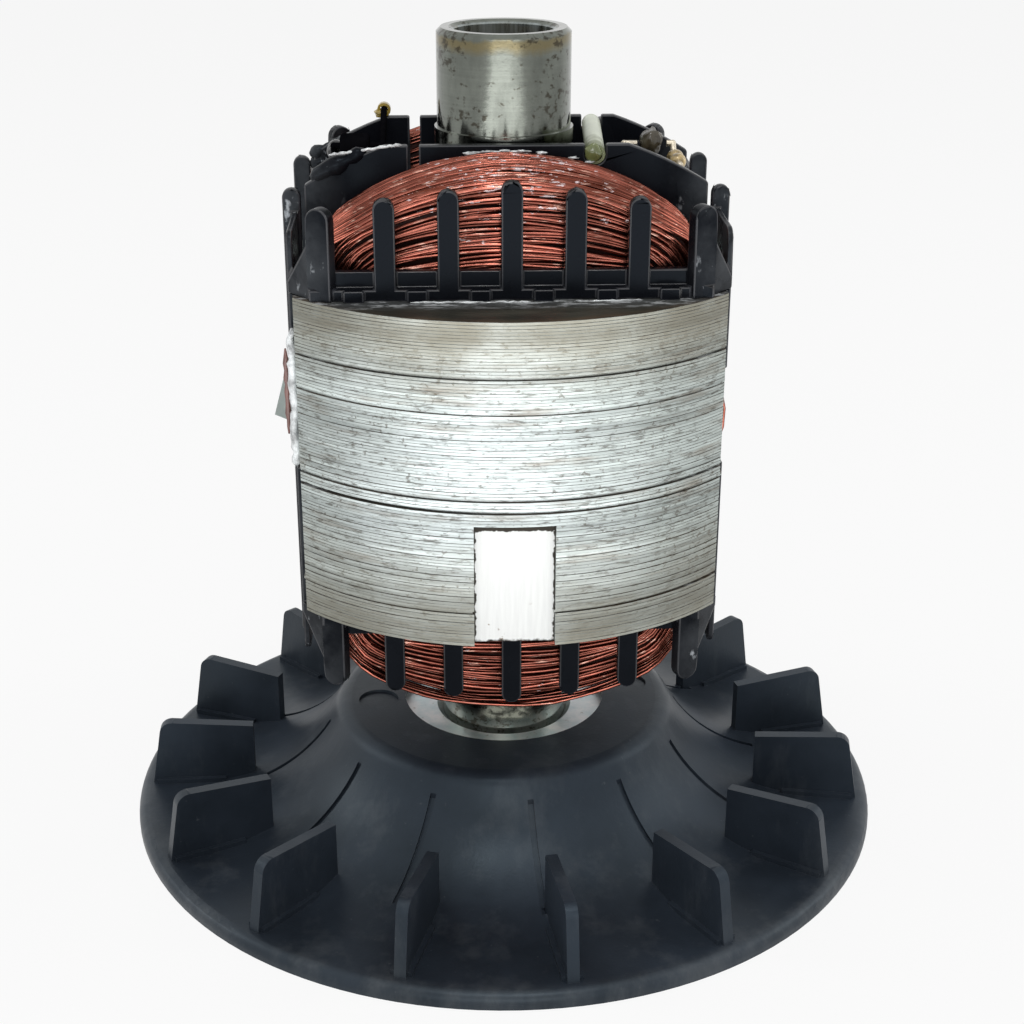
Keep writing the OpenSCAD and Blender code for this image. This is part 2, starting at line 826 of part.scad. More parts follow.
// Moulded fan
module fan() {
    color("#2b3036") {
        difference() {
            rotate_extrude() fan_section();
            for (i = [1 : groove_count])
                rotate([0, 0, groove_turn + i * 360 / groove_count]) intersection() {
                    difference() {
                        rotate_extrude() bell_section(over, flare_end, 0);
                        rotate_extrude() bell_section(-groove_depth, flare_end, 0);
                    }
                    box([-groove_w / 2, -groove_out, 0], [groove_w / 2, -groove_in, hub_top]);
                }
            for (side = [-90, 90]) rotate([0, 0, groove_turn + side])
                translate([0, -mark_r, hub_top - mark_depth]) cylinder(d = mark_d, h = over);
        }
        for (i = [1 : blade_count]) rotate([0, 0, blade_turn + i * 360 / blade_count]) blade();
    }
}

// Flanged steel bush between the fan and the shaft
module fan_bush() {
    color("gainsboro") rotate_extrude() polygon([
        [shaft_r, boss_foot],
        [bush_r, boss_foot],
        [bush_r, flange_top - flange_t],
        [flange_r, flange_top - flange_t],
        [flange_r, flange_top],
        [shaft_r + bush_chamfer, flange_top],
        [shaft_r, flange_top - bush_chamfer]
    ]);
}

shaft();
lamination_core();
upper_end_insulator();
lower_end_insulator();
front_coil();
rear_coil();
left_slot_film();
right_slot_film();
left_diode();
right_diode();
left_diode_leads();
right_diode_leads();
left_lead_sleeve();
coil_link_wire();
coil_link_sleeve();
solder_joints();
fan();
fan_bush();
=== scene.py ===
"""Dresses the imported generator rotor: sheets, wire, moulding, metal and its studio."""

import math
import random

import bmesh
import bpy
from bpy.props import FloatProperty, FloatVectorProperty, PointerProperty
from mathutils import Matrix, Vector, noise


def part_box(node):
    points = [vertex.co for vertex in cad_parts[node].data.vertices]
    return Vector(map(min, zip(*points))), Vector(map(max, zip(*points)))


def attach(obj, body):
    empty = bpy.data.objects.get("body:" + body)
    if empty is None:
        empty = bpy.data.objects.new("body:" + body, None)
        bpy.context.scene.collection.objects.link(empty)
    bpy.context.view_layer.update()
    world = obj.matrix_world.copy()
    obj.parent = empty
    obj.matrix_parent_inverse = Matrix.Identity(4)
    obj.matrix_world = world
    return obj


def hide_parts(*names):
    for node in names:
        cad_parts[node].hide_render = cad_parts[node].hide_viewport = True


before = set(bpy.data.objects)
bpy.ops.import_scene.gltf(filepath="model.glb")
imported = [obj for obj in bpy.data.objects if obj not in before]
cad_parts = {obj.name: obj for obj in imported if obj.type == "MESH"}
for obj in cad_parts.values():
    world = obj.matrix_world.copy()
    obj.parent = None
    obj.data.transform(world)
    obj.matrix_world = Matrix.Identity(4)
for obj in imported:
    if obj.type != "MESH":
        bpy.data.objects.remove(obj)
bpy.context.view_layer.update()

bl_info = {
    "name": "Generator rotor dresser",
    "version": (1, 1, 0),
    "blender": (4, 5, 0),
    "location": "3D View > Sidebar > Rotor",
    "description": "Adds wire, sheets and finishes to the packed generator rotor",
    "category": "Object",
}

BODY = "root"
MM = 0.001
MERGE = 0.002 * MM
TURN_TONE = "turn_tone"

CORE_LOW, CORE_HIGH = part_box("lamination_core")
COIL_LOW, COIL_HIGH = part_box("front_coil")
CORE_MID_Z = (CORE_LOW.z + CORE_HIGH.z) / 2
CORE_TALL = CORE_HIGH.z - CORE_LOW.z
CORE_HALF = CORE_TALL / 2
SHAFT_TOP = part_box("shaft")[1].z


# Values a user would change

def length(name, description, default, low=0.0):
    """A length in metres."""
    return FloatProperty(
        name=name, description=description, default=default, min=low,
        precision=5, subtype="DISTANCE", unit="LENGTH",
    )


def share(name, description, default):
    """A plain ratio."""
    return FloatProperty(
        name=name, description=description, default=default, min=0.0, max=1.0, subtype="FACTOR",
    )


def colour(name, description, default):
    """A colour, as linear red, green and blue."""
    return FloatVectorProperty(
        name=name, description=description, default=default, size=3,
        min=0.0, max=1.0, subtype="COLOR",
    )


class RotorSizes(bpy.types.PropertyGroup):
    """Sizes of what the dressing adds."""

    sheet: length("Sheet", "Thickness of one sheet of the core", 0.565 * MM, 0.3 * MM)
    sheet_step: length("Sheet step", "How far sheets stand out from each other", 0.08 * MM)
    sheet_edge: length("Sheet edge", "Width of a sheet's dark broken edge", 0.045 * MM)
    open_joint: length("Open joint", "Depth of the sheets that lie back", 0.7 * MM)
    tip: length("Shoe tip", "Thickness of a pole shoe at its tips", 2.5 * MM)
    neck: length("Neck", "Width of the neck that carries the poles", 40 * MM)
    bore: length("Bore", "Diameter of the core's bore", 26 * MM)
    pocket_width: length("Pocket width", "Width of the balancing pocket", 14.4 * MM)
    pocket_height: length("Pocket height", "Height of the balancing pocket", 23.3 * MM)
    pocket_depth: length("Pocket depth", "Depth of the balancing pocket", 2.5 * MM)
    wire: length("Wire", "Diameter of the enamelled wire", 0.64 * MM, 0.3 * MM)
    wire_pitch: length("Wire pitch", "Distance between two turns", 0.84 * MM, 0.3 * MM)
    wander: length("Wander", "How far a turn strays from its place", 0.7 * MM)
    drift: length("Drift", "How far a turn leans across its neighbours", 1.1 * MM)
    setback: length("Coil setback", "Distance from the pole's tips to the coils' sides", 2 * MM)
    corner: length("Corner radius", "Outer radius of the coils' corners", 16 * MM)
    arch: length("Arch height", "Height of the end turns over the core", 21.3 * MM)
    shoulder: length("Shoulder", "Drop of the end turns from the wall to the face", 2.6 * MM)
    sag: length("Sag", "Reach of the lower end turns beyond their arch at the face", 1.5 * MM)
    spring: length("Spring drop", "Depth below the core's end where the corners start", 0.9 * MM)
    floor: length("Floor", "Thickness of the insulators' floors", 2 * MM)
    window_gap: length("Coil window", "Gap between the neck and the coil", 1.4 * MM)
    bulge: length("Bulge", "Reach of the coils' bulge between the side plates", 3.2 * MM)
    bulge_mid: length("Bulge middle", "Height of the bulge's middle over the core's middle", 6 * MM)
    bulge_half: length("Bulge half", "Half the height of the bulge", 9 * MM)
    side_share: share("Side share", "Step of a turn at the sides for a step at the crown", 0.74)
    corner_share: share("Corner share", "Loss of corner radius for a step at the crown", 0.70)
    edge: length("Moulded edge", "Rounding of the moulded edges", 0.28 * MM)


class RotorColours(bpy.types.PropertyGroup):
    """Colours of the finishes."""

    # Sheet middle is a painted highlight across the pole faces; sheet side is the steel's own tone
    # beside it.
    sheet_highlight: colour("Sheet middle", "Rubbed middle of the pole faces", (0.585, 0.640, 0.640))
    sheet_side: colour("Sheet side", "Dull sides of the pole faces", (0.440, 0.485, 0.465))
    tinge: colour("Sheet tinge", "Tinged ends of the pole faces", (0.25, 0.24, 0.195))
    joint: colour("Joint", "Dark joints between the sheets", (0.045, 0.038, 0.028))
    milled: colour("Milled steel", "Floor of the balancing pocket", (0.68, 0.69, 0.68))
    stain: colour("Stain", "Brown stains on bare steel", (0.17, 0.11, 0.06))
    varnish: colour("Varnish", "Dark dipping varnish", (0.024, 0.023, 0.018))
    copper: colour("Copper", "Enamelled copper wire", (0.300, 0.097, 0.069))
    # Deep copper is painted shade: the turns hidden between the others, drawn near black.
    copper_shade: colour("Deep copper", "Copper between the turns", (0.030, 0.007, 0.005))
    copper_glint: colour("Copper glint", "Glints along the wire", (0.80, 0.52, 0.42))
    # Copper fleck: flecks of varnish that are also painted sparkle highlights.
    copper_fleck_and_sparkle: colour("Copper fleck", "Flecks of varnish on the wire", (0.85, 0.74, 0.76))
    copper_gloss: colour("Copper gloss", "Tint of the wire's gloss", (0.72, 0.42, 0.36))
    strand: colour("Strand", "Loose strand beside the left film", (0.17, 0.078, 0.066))
    moulding: colour("Moulding", "Black moulding of the insulators", (0.0042, 0.0046, 0.0064))
    moulding_edge: colour("Moulding edge", "Rubbed edges of the insulators", (0.014, 0.0155, 0.020))
    moulding_run: colour("Moulding run", "Runs of varnish on the insulators", (0.62, 0.66, 0.70))
    moulding_gloss: colour("Moulding gloss", "Tint of the insulators' gloss", (0.68, 0.84, 1.0))
    dust: colour("Dust", "Dust on the mouldings", (0.13, 0.14, 0.15))
    fan: colour("Fan", "Grey-black moulding of the fan", (0.0165, 0.0215, 0.0295))
    fan_edge: colour("Fan edge", "Rubbed edges of the fan", (0.050, 0.057, 0.064))
    fan_gloss: colour("Fan gloss", "Tint of the fan's gloss", (0.70, 0.88, 1.0))
    shaft: colour("Shaft", "Ground steel of the shaft", (0.172, 0.184, 0.163))
    shaft_ring: colour("Shaft ring", "Yellow ring below the shaft's top", (0.19, 0.145, 0.055))
    shaft_pit: colour("Shaft pit", "Pits in the shaft", (0.040, 0.034, 0.024))
    # Shaft rub is a painted highlight on the shaft's foot.
    shaft_highlight: colour("Shaft rub", "Rubbed patch on the shaft's foot", (0.60, 0.62, 0.50))
    # Shaft mouth is a painted reflection at the top of the bore.
    shaft_mouth_reflection: colour("Shaft mouth", "Mouth of the shaft's bore", (0.40, 0.45, 0.46))
    bush: colour("Bush", "Plated steel of the bush", (0.84, 0.97, 1.0))
    film: colour("Film", "Insulating film", (0.52, 0.60, 0.57))
    pale_sleeve: colour("Pale sleeve", "Sleeve on the link wire", (0.66, 0.70, 0.58))
    soaked_sleeve: colour("Soaked sleeve", "Stained end of the pale sleeve", (0.12, 0.145, 0.045))
    soaked_end: colour("Soaked end", "Soaked lump on the pale sleeve's end", (0.13, 0.155, 0.055))
    yellow_sleeve: colour("Yellow sleeve", "Sleeve on a diode's lead", (0.30, 0.21, 0.03))
    diode_brown: colour("Brown diode", "Coated diode on the right", (0.052, 0.042, 0.025))
    diode_black: colour("Black diode", "Coated diode on the left", (0.004, 0.004, 0.005))
    solder: colour("Solder", "Solder under yellowed varnish", (0.42, 0.31, 0.14))
    lead: colour("Lead", "Tinned wire", (0.48, 0.43, 0.34))
    # The beads' colour is pale varnish that also stands in for glints of light on it.
    resin_and_glint: colour("Resin", "Clear resin in thick beads", (0.78, 0.81, 0.82))
    floor: colour("Floor", "Studio floor", (0.86, 0.86, 0.86))


# Shader building

MIX_FACTOR, MIX_FIRST, MIX_SECOND, MIX_RESULT = 0, 6, 7, 2


def node(tree, kind, sockets=None, **settings):
    """A shader node with its settings and its sockets' values or links."""
    made = tree.nodes.new(kind)
    for key, value in settings.items():
        setattr(made, key, value)
    for key, value in (sockets or {}).items():
        if isinstance(value, Value):
            tree.links.new(value.socket, made.inputs[key])
        else:
            made.inputs[key].default_value = value
    return made


def output(tree, kind, name, sockets=None, **settings):
    """One output of a new shader node."""
    return Value(node(tree, kind, sockets, **settings).outputs[name])


def rgba(tone, gain=1.0):
    """A colour with its alpha, made lighter or darker."""
    return (*[min(1.0, part * gain) for part in tone], 1.0)


class Value:
    """A shader node's output, to be reckoned with like a number."""

    def __init__(self, socket):
        self.socket = socket
        self.tree = socket.id_data

    def calc(self, operation, other=0.0):
        """One sum of this value and another."""
        return output(self.tree, "ShaderNodeMath", 0, {0: self, 1: other}, operation=operation)

    def __add__(self, other):
        return self.calc("ADD", other)

    def __sub__(self, other):
        return self.calc("SUBTRACT", other)

    def __mul__(self, other):
        return self.calc("MULTIPLY", other)

    def __abs__(self):
        return self.calc("ABSOLUTE")

    def or_more(self, other):
        """The greater of two values."""
        return self.calc("MAXIMUM", other)

    def span(self, low, high, to_low=0.0, to_high=1.0):
        """The value moved from one range to another, and held inside it."""
        sockets = {
            "Value": self, "From Min": low, "From Max": high,
            "To Min": to_low, "To Max": to_high,
        }
        return output(self.tree, "ShaderNodeMapRange", "Result", sockets)

    def mix(self, first, second):
        """A colour between two colours."""
        sockets = {MIX_FACTOR: self, MIX_FIRST: first, MIX_SECOND: second}
        return output(self.tree, "ShaderNodeMix", MIX_RESULT, sockets, data_type="RGBA")

    def tint(self, tone, dark, light):
        """A colour between a darker and a lighter shade of one tone."""
        return self.mix(rgba(tone, dark), rgba(tone, light))

    def shade(self, tone):
        """A colour made darker or lighter by the value."""
        sockets = {MIX_FACTOR: 1.0, MIX_FIRST: tone, MIX_SECOND: self}
        return output(self.tree, "ShaderNodeMix", MIX_RESULT, sockets, data_type="RGBA",
                      blend_type="MULTIPLY")

    def bump(self, strength, depth):
        """A normal, with the value as the height."""
        sockets = {"Height": self, "Strength": strength, "Distance": depth}
        return output(self.tree, "ShaderNodeBump", "Normal", sockets)


def new_material(name):
    """A material with an empty node tree."""
    material = bpy.data.materials.new(name)
    material.use_nodes = True
    material.node_tree.nodes.clear()
    return material


class Finish:
    """A material on its way from coordinates and noise to one surface."""

    def __init__(self, name):
        self.material = new_material(name)
        self.tree = self.material.node_tree
        self.spot = output(self.tree, "ShaderNodeTexCoord", "Object")

    def axes(self):
        """The three object coordinates as separate values."""
        parts = node(self.tree, "ShaderNodeSeparateXYZ", {"Vector": self.spot}).outputs
        return [Value(part) for part in parts]

    def stretched(self, scale):
        """The object coordinates, stretched."""
        sockets = {"Vector": self.spot, "Scale": scale}
        return output(self.tree, "ShaderNodeMapping", "Vector", sockets)

    def grain(self, scale, detail=4.0, roughness=0.55, stretch=(1.0, 1.0, 1.0)):
        """Noise in the object's own space, about 0 to 1."""
        sockets = {
            "Vector": self.stretched(stretch), "Scale": scale,
            "Detail": detail, "Roughness": roughness,
        }
        return output(self.tree, "ShaderNodeTexNoise", "Fac", sockets)

    def radius(self):
        """Distance from the rotor's axis."""
        flat = {0: self.stretched((1.0, 1.0, 0.0))}
        return output(self.tree, "ShaderNodeVectorMath", "Value", flat, operation="LENGTH")

    def nearness(self, centre, reach):
        """1 at a point, 0 from a distance on."""
        points = {0: self.spot, 1: centre}
        away = output(self.tree, "ShaderNodeVectorMath", "Value", points, operation="DISTANCE")
        return away.span(reach, 0.0)

    def surface(self, **sockets):
        """Ends the material in one principled surface."""
        named = {key.replace("_", " "): value for key, value in sockets.items()}
        shader = output(self.tree, "ShaderNodeBsdfPrincipled", "BSDF", named)
        node(self.tree, "ShaderNodeOutputMaterial", {"Surface": shader})
        return self.material


# Finishes

def sheet_steel(colours):
    """Turned edges of the sheets: fine lines, brown streaks, pits and a painted highlight across
    the middle, fading towards the sides and ends.
    """
    steel = Finish("sheet_steel")
    x, _, z = steel.axes()
    lines = steel.grain(1.0, 2.0, 0.5, (40, 40, 1500))
    clouds = steel.grain(60.0, 5.0)
    streaks = steel.grain(1.0, 6.0, 0.62, (45, 45, 330))
    nicks = steel.grain(1.0, 4.0, 0.7, (330, 330, 1500))
    pits = steel.grain(1.0, 3.0, 0.6, (900, 900, 1100))
    bands = steel.grain(1.0, 3.0, 0.5, (6, 6, 210))
    # Painted highlight: lighter across the middle of the pole faces, a little left of centre,
    # fading towards the sides and ends.
    side = abs(x + 7 * MM) + abs(z - CORE_MID_Z) * 0.6
    side += clouds.span(0.3, 0.7, -11 * MM, 11 * MM)
    highlight_mask = side.span(40 * MM, 8 * MM)
    tone = highlight_mask.mix(rgba(colours.sheet_side), rgba(colours.sheet_highlight))
    tone = lines.span(0.3, 0.7, 0.72, 1.28).shade(tone)
    tone = streaks.span(0.55, 0.72, 0.0, 0.65).mix(tone, rgba(colours.stain))
    tone = nicks.span(0.53, 0.66, 0.0, 0.7).mix(tone, rgba(colours.joint, 1.5))
    pitted = pits + clouds.span(0.35, 0.65, -0.05, 0.04)
    pitted += z.span(CORE_HIGH.z - 14 * MM, CORE_HIGH.z - 6 * MM, 0.0, 0.035)
    tone = pitted.span(0.61, 0.69, 0.0, 0.6).mix(tone, rgba(colours.stain, 0.4))
    # The pole faces turn darker and olive towards the core's top and foot.
    top = z.span(CORE_HIGH.z - 15 * MM, CORE_HIGH.z - 3 * MM)
    foot = z.span(CORE_LOW.z + 22 * MM, CORE_LOW.z + 2 * MM, 0.0, 0.95)
    tinged = top.or_more(foot) * clouds.span(0.32, 0.6, 0.55, 1.0)
    tone = tinged.mix(tone, rgba(colours.tinge))
    tone = bands.span(0.36, 0.64, 0.78, 1.10).shade(tone)
    return steel.surface(
        Base_Color=tone, Metallic=0.9, Roughness=clouds.span(0.3, 0.7, 0.36, 0.5),
        Normal=lines.bump(0.35, 0.1 * MM))


def dipped_face(colours):
    """End faces of the core under dark dipping varnish, with pale flecks at the ledge's foot."""
    face = Finish("dipped_face")
    clouds = face.grain(1.0, 5.0, 0.55, (60, 200, 140))
    flecks = face.grain(1.0, 5.0, 0.7, (190, 620, 420))
    tone = clouds.span(0.4, 0.68).tint(colours.varnish, 1.0, 2.2)
    foot = abs(face.axes()[1]).span(44 * MM, 40 * MM)
    tone = (foot * 0.35).mix(tone, rgba(colours.dust))
    fleck = foot * flecks.span(0.50, 0.60, 0.0, 0.8)
    tone = fleck.mix(tone, rgba(colours.resin_and_glint, 0.8))
    rusty = face.radius().span(49.5 * MM, 51.5 * MM) * clouds.span(0.4, 0.6, 0.1, 0.8)
    tone = rusty.mix(tone, rgba(colours.stain, 0.5))
    return face.surface(
        Base_Color=tone, Roughness=clouds.span(0.3, 0.7, 0.3, 0.5), Specular_IOR_Level=0.2,
        Normal=flecks.bump(0.4, 0.3 * MM))


def joint_shade(colours):
    """Dark joints between the sheets, worn away in places and faded across the middle with the
    painted highlight.
    """
    joint = Finish("joint_shade")
    fade = joint.grain(1.0, 5.0, 0.7, (240, 240, 1100))
    # Joints fade more across the middle, along with the painted highlight on the pole faces.
    side = abs(joint.axes()[0]).span(36 * MM, 6 * MM, -0.06, 0.10)
    faded_joint = (fade + side).span(0.38, 0.62, 0.0, 0.85)
    tone = faded_joint.mix(rgba(colours.joint), rgba(colours.sheet_side, 0.75))
    return joint.surface(
        Base_Color=tone, Metallic=0.6, Roughness=fade.span(0.3, 0.7, 0.6, 0.45))


def milled_steel(colours, sizes):
    """Floor of the balancing pocket: bright, with fine mill marks, a few specks, painted shade
    along its sides and top, and a dark line along its foot.
    """
    steel = Finish("milled_steel")
    x, _, z = steel.axes()
    marks = steel.grain(1.0, 3.0, 0.5, (1600, 200, 120))
    specks = steel.grain(620.0, 3.0, 0.6)
    ragged = steel.grain(900.0, 3.0).span(0.3, 0.7, -0.25 * MM, 0.25 * MM)
    tone = marks.span(0.3, 0.7).tint(colours.milled, 0.94, 1.05)
    low = z.span(CORE_LOW.z + 12 * MM, CORE_LOW.z, -0.04, 0.06)
    tone = (specks + low).span(0.71, 0.77, 0.0, 0.85).mix(tone, rgba(colours.stain))
    half = sizes.pocket_width / 2
    top = CORE_LOW.z + sizes.pocket_height
    # Painted shade along the pocket's sides and top, and a dark line along its foot.
    rim = (abs(x) + ragged).span(half - 0.35 * MM, half - 0.2 * MM)
    high = (z + ragged).span(top - 1.95 * MM, top - 1.8 * MM)
    foot = (z + ragged).span(CORE_LOW.z + 0.4 * MM, CORE_LOW.z)
    edge = rim.or_more(high.or_more(foot))
    tone = edge.mix(tone, rgba(colours.joint, 0.6))
    return steel.surface(
        Base_Color=tone, Metallic=0.6, Roughness=marks.span(0.2, 0.8, 0.4, 0.55),
        Normal=marks.bump(0.1, 0.05 * MM))


def enamelled_wire(colours):
    """Copper under clear enamel: each turn has its own tone, with painted glints and pale flecks
    that are varnish and painted sparkle.
    """
    wire = Finish("enamelled_wire")
    x, _, z = wire.axes()
    turn = output(wire.tree, "ShaderNodeAttribute", "Fac", attribute_name=TURN_TONE)
    cloudy = wire.grain(170.0, 4.0)
    glints = wire.grain(1.0, 4.0, 0.65, (150, 600, 1100))
    flecks = wire.grain(1.0, 4.0, 0.7, (330, 700, 900))
    tone = turn.tint(colours.copper, 0.28, 1.3)
    tone = cloudy.span(0.35, 0.65, 1.15, 0.6).shade(tone)
    tone = glints.span(0.57, 0.68, 0.0, 0.45).mix(tone, rgba(colours.copper_glint))
    # Pale flecks of varnish, also painted sparkle highlights, gathered on the middle of the arch's
    # top.
    middle = abs(x).span(30 * MM, 6 * MM, -0.10, 0.03)
    high = z.span(CORE_HIGH.z + 6 * MM, CORE_HIGH.z + 16 * MM, -0.06, 0.02)
    fleck = (flecks + (middle + high)).span(0.625, 0.665, 0.0, 0.9)
    tone = fleck.mix(tone, rgba(colours.copper_fleck_and_sparkle))
    return wire.surface(
        Base_Color=tone, Metallic=fleck.span(0.0, 0.8, 0.96, 0.0),
        Roughness=cloudy.span(0.3, 0.7, 0.16, 0.3), Specular_Tint=rgba(colours.copper_gloss))


def coil_shade(colours):
    """Copper deep between the turns, painted dark as shade."""
    deep = Finish("coil_shade")
    lines = deep.grain(1.0, 3.0, 0.5, (90, 90, 1300))
    tone = lines.span(0.35, 0.65).tint(colours.copper_shade, 0.6, 1.7)
    return deep.surface(
        Base_Color=tone, Metallic=0.3, Roughness=0.55, Normal=lines.bump(0.5, 0.2 * MM))


def black_moulding(colours):
    """Insulator moulding: black and glossy, dusty at the outer ends, with varnish runs."""
    black = Finish("black_moulding")
    flow = black.grain(120.0, 5.0)
    fine = black.grain(900.0, 3.0)
    runs = black.grain(1.0, 5.0, 0.65, (260, 260, 150))
    tone = flow.tint(colours.moulding, 0.6, 1.6)
    outer = abs(black.axes()[0]).span(29 * MM, 35 * MM)
    dusty = outer * flow.span(0.34, 0.68)
    tone = (dusty * 0.35).mix(tone, rgba(colours.dust))
    run = runs.span(0.62, 0.69) * outer
    tone = (run * 0.6).mix(tone, rgba(colours.moulding_run))
    return black.surface(
        Base_Color=tone, Roughness=flow.span(0.3, 0.7, 0.2, 0.36), Specular_IOR_Level=0.07,
        Specular_Tint=rgba(colours.moulding_gloss), Normal=fine.bump(0.12, 0.12 * MM))


def rubbed_moulding(name, tone, specular):
    """Worn edges of a moulding, where the gloss has gone grey."""
    worn = Finish(name)
    wear = worn.grain(330.0, 4.0, 0.6)
    return worn.surface(
        Base_Color=wear.span(0.35, 0.65).tint(tone, 0.4, 1.35),
        Roughness=wear.span(0.3, 0.7, 0.3, 0.5), Specular_IOR_Level=specular)


def fan_moulding(colours):
    """Fan moulding: satin grey-black with dust, rubs, a painted highlight on the bell's front right
    and a scuffed rim.
    """
    fan = Finish("fan_moulding")
    flow = fan.grain(38.0, 5.0, 0.6)
    rubs = fan.grain(1.0, 6.0, 0.68, (90, 90, 30))
    fine = fan.grain(1600.0, 3.0)
    specks = fan.grain(800.0, 2.0, 0.5)
    tone = flow.span(0.3, 0.7).tint(colours.fan, 0.7, 1.5)
    tone = rubs.span(0.52, 0.75, 0.0, 0.24).mix(tone, rgba(colours.dust))
    # Painted highlight: a lighter patch on the front right of the bell.
    bell_highlight = fan.nearness((15 * MM, -47 * MM, 10 * MM), 9 * MM)
    bell_highlight *= rubs.span(0.42, 0.62, 0.0, 0.5)
    tone = bell_highlight.mix(tone, rgba(colours.dust, 0.8))
    scuffs = fan.radius().span(74.5 * MM, 77 * MM) * rubs.span(0.42, 0.66, 0.06, 0.5)
    tone = scuffs.mix(tone, rgba(colours.dust, 0.7))
    tone = specks.span(0.72, 0.80, 0.0, 0.25).mix(tone, rgba(colours.dust))
    return fan.surface(
        Base_Color=tone, Roughness=flow.span(0.3, 0.7, 0.32, 0.46), Specular_IOR_Level=0.28,
        Specular_Tint=rgba(colours.fan_gloss), Normal=fine.bump(0.22, 0.1 * MM))


def shaft_steel(colours):
    """Ground steel: dull clouds, dark pits, a painted highlight on the foot, a painted reflection
    at the top of the bore and a yellow ring.
    """
    steel = Finish("shaft_steel")
    x, _, z = steel.axes()
    rings = steel.grain(1.0, 3.0, 0.5, (30, 30, 2600))
    clouds = steel.grain(1.0, 6.0, 0.62, (150, 150, 55))
    pits = steel.grain(1.0, 4.0, 0.65, (560, 560, 800))
    patches = steel.grain(95.0, 3.0)
    scores = steel.grain(1.0, 3.0, 0.6, (420, 420, 30))
    tone = rings.span(0.3, 0.7, 0.94, 1.06).shade(rgba(colours.shaft))
    tone = clouds.span(0.42, 0.68, 0.0, 0.7).mix(tone, rgba(colours.shaft, 0.45))
    high = z + clouds.span(0.3, 0.7, -0.8 * MM, 0.8 * MM)
    ring = high.span(SHAFT_TOP - 3.8 * MM, SHAFT_TOP - 2.3 * MM)
    ring *= high.span(SHAFT_TOP - 0.8 * MM, SHAFT_TOP - 1.4 * MM)
    tone = (ring * 0.6).mix(tone, rgba(colours.shaft_ring))
    pitted = pits + patches.span(0.36, 0.64, -0.07, 0.06)
    # More pits towards the left and right sides, which makes them darker.
    pitted += abs(x - 1 * MM).span(4 * MM, 8 * MM, -0.02, 0.035)
    tone = pitted.span(0.58, 0.66, 0.0, 0.8).mix(tone, rgba(colours.shaft_pit))
    # Painted highlight: a pale patch on the shaft's foot.
    highlight_mask = abs(x).span(6 * MM, 3.5 * MM) * abs(z - 24 * MM).span(2.2 * MM, 1.2 * MM)
    highlight_mask *= pits.span(0.42, 0.62, 1.0, 0.3)
    tone = highlight_mask.mix(tone, rgba(colours.shaft_highlight))
    # Painted reflection: the top of the bore lighter, in vertical streaks, and less metallic.
    mouth = steel.radius().span(9.8 * MM, 9.6 * MM)
    mouth *= z.span(SHAFT_TOP - 16 * MM, SHAFT_TOP - 2 * MM, 0.0, 0.6)
    mouth *= scores.span(0.35, 0.6, 0.25, 1.0)
    tone = mouth.mix(tone, rgba(colours.shaft_mouth_reflection))
    # Where light is painted, the steel is less metallic.
    painted_light = highlight_mask.or_more(mouth)
    return steel.surface(
        Base_Color=tone, Metallic=painted_light.span(0.0, 1.0, 1.0, 0.2),
        Roughness=clouds.span(0.35, 0.65, 0.09, 0.19), Normal=pits.bump(0.15, 0.1 * MM))


def bush_steel(colours):
    """Plated steel of the bush: light grey with soft mottles."""
    steel = Finish("bush_steel")
    mottle = steel.grain(210.0, 5.0, 0.6)
    fine = steel.grain(900.0, 3.0)
    tone = mottle.span(0.35, 0.65).tint(colours.bush, 0.82, 1.2)
    tone = fine.span(0.66, 0.74, 0.0, 0.5).mix(tone, rgba(colours.stain))
    return steel.surface(
        Base_Color=tone, Metallic=1.0, Roughness=mottle.span(0.3, 0.7, 0.36, 0.5),
        Normal=fine.bump(0.12, 0.08 * MM))


def coated(name, tone, roughness, spread=0.35, metallic=0.0, coat=0.3, specular=0.5):
    """A small part's coat: mottled tone and uneven gloss."""
    cover = Finish(name)
    mottle = cover.grain(260.0, 5.0, 0.6)
    return cover.surface(
        Base_Color=mottle.span(0.3, 0.7).tint(tone, 1.0 - spread, 1.0 + spread),
        Metallic=metallic, Coat_Weight=coat, Coat_Roughness=0.15, Specular_IOR_Level=specular,
        Roughness=mottle.span(0.3, 0.7, roughness * 0.8, roughness * 1.25),
        Normal=mottle.bump(0.3, 0.2 * MM))


def varnished_solder(colours):
    """Solder under yellowed varnish on the right, and under black varnish on the left."""
    solder = Finish("solder")
    mottle = solder.grain(520.0, 5.0, 0.62)
    gold = mottle.span(0.36, 0.62).tint(colours.solder, 0.3, 1.5)
    left = solder.axes()[0].span(0.5 * MM, -0.5 * MM)
    return solder.surface(
        Base_Color=left.mix(gold, rgba(colours.diode_black)), Metallic=0.2,
        Roughness=mottle.span(0.3, 0.7, 0.2, 0.4), Coat_Weight=0.5, Coat_Roughness=0.1,
        Normal=mottle.bump(0.5, 0.3 * MM))


def link_sleeve(colours):
    """Pale woven sleeve whose front end is stained yellow-green."""
    sleeve = Finish("link_sleeve")
    weave = sleeve.grain(1.0, 2.0, 0.5, (900, 1800, 900))
    mottle = sleeve.grain(240.0, 4.0)
    tone = mottle.tint(colours.pale_sleeve, 0.8, 1.2)
    reach = sleeve.axes()[1] + mottle.span(0.3, 0.7, -4 * MM, 4 * MM)
    soaked = reach.span(-4 * MM, -12 * MM, 0.0, 0.9)
    tone = soaked.mix(tone, rgba(colours.soaked_sleeve))
    return sleeve.surface(Base_Color=tone, Roughness=0.42, Normal=weave.bump(0.35, 0.15 * MM))


def slot_film(colours):
    """Pale insulating film, thin and a little yellowed."""
    film = Finish("slot_film")
    mottle = film.grain(90.0, 5.0, 0.6)
    return film.surface(
        Base_Color=mottle.span(0.3, 0.7).tint(colours.film, 0.7, 1.1), Roughness=0.38,
        Transmission_Weight=0.15, Normal=mottle.bump(0.2, 0.2 * MM))


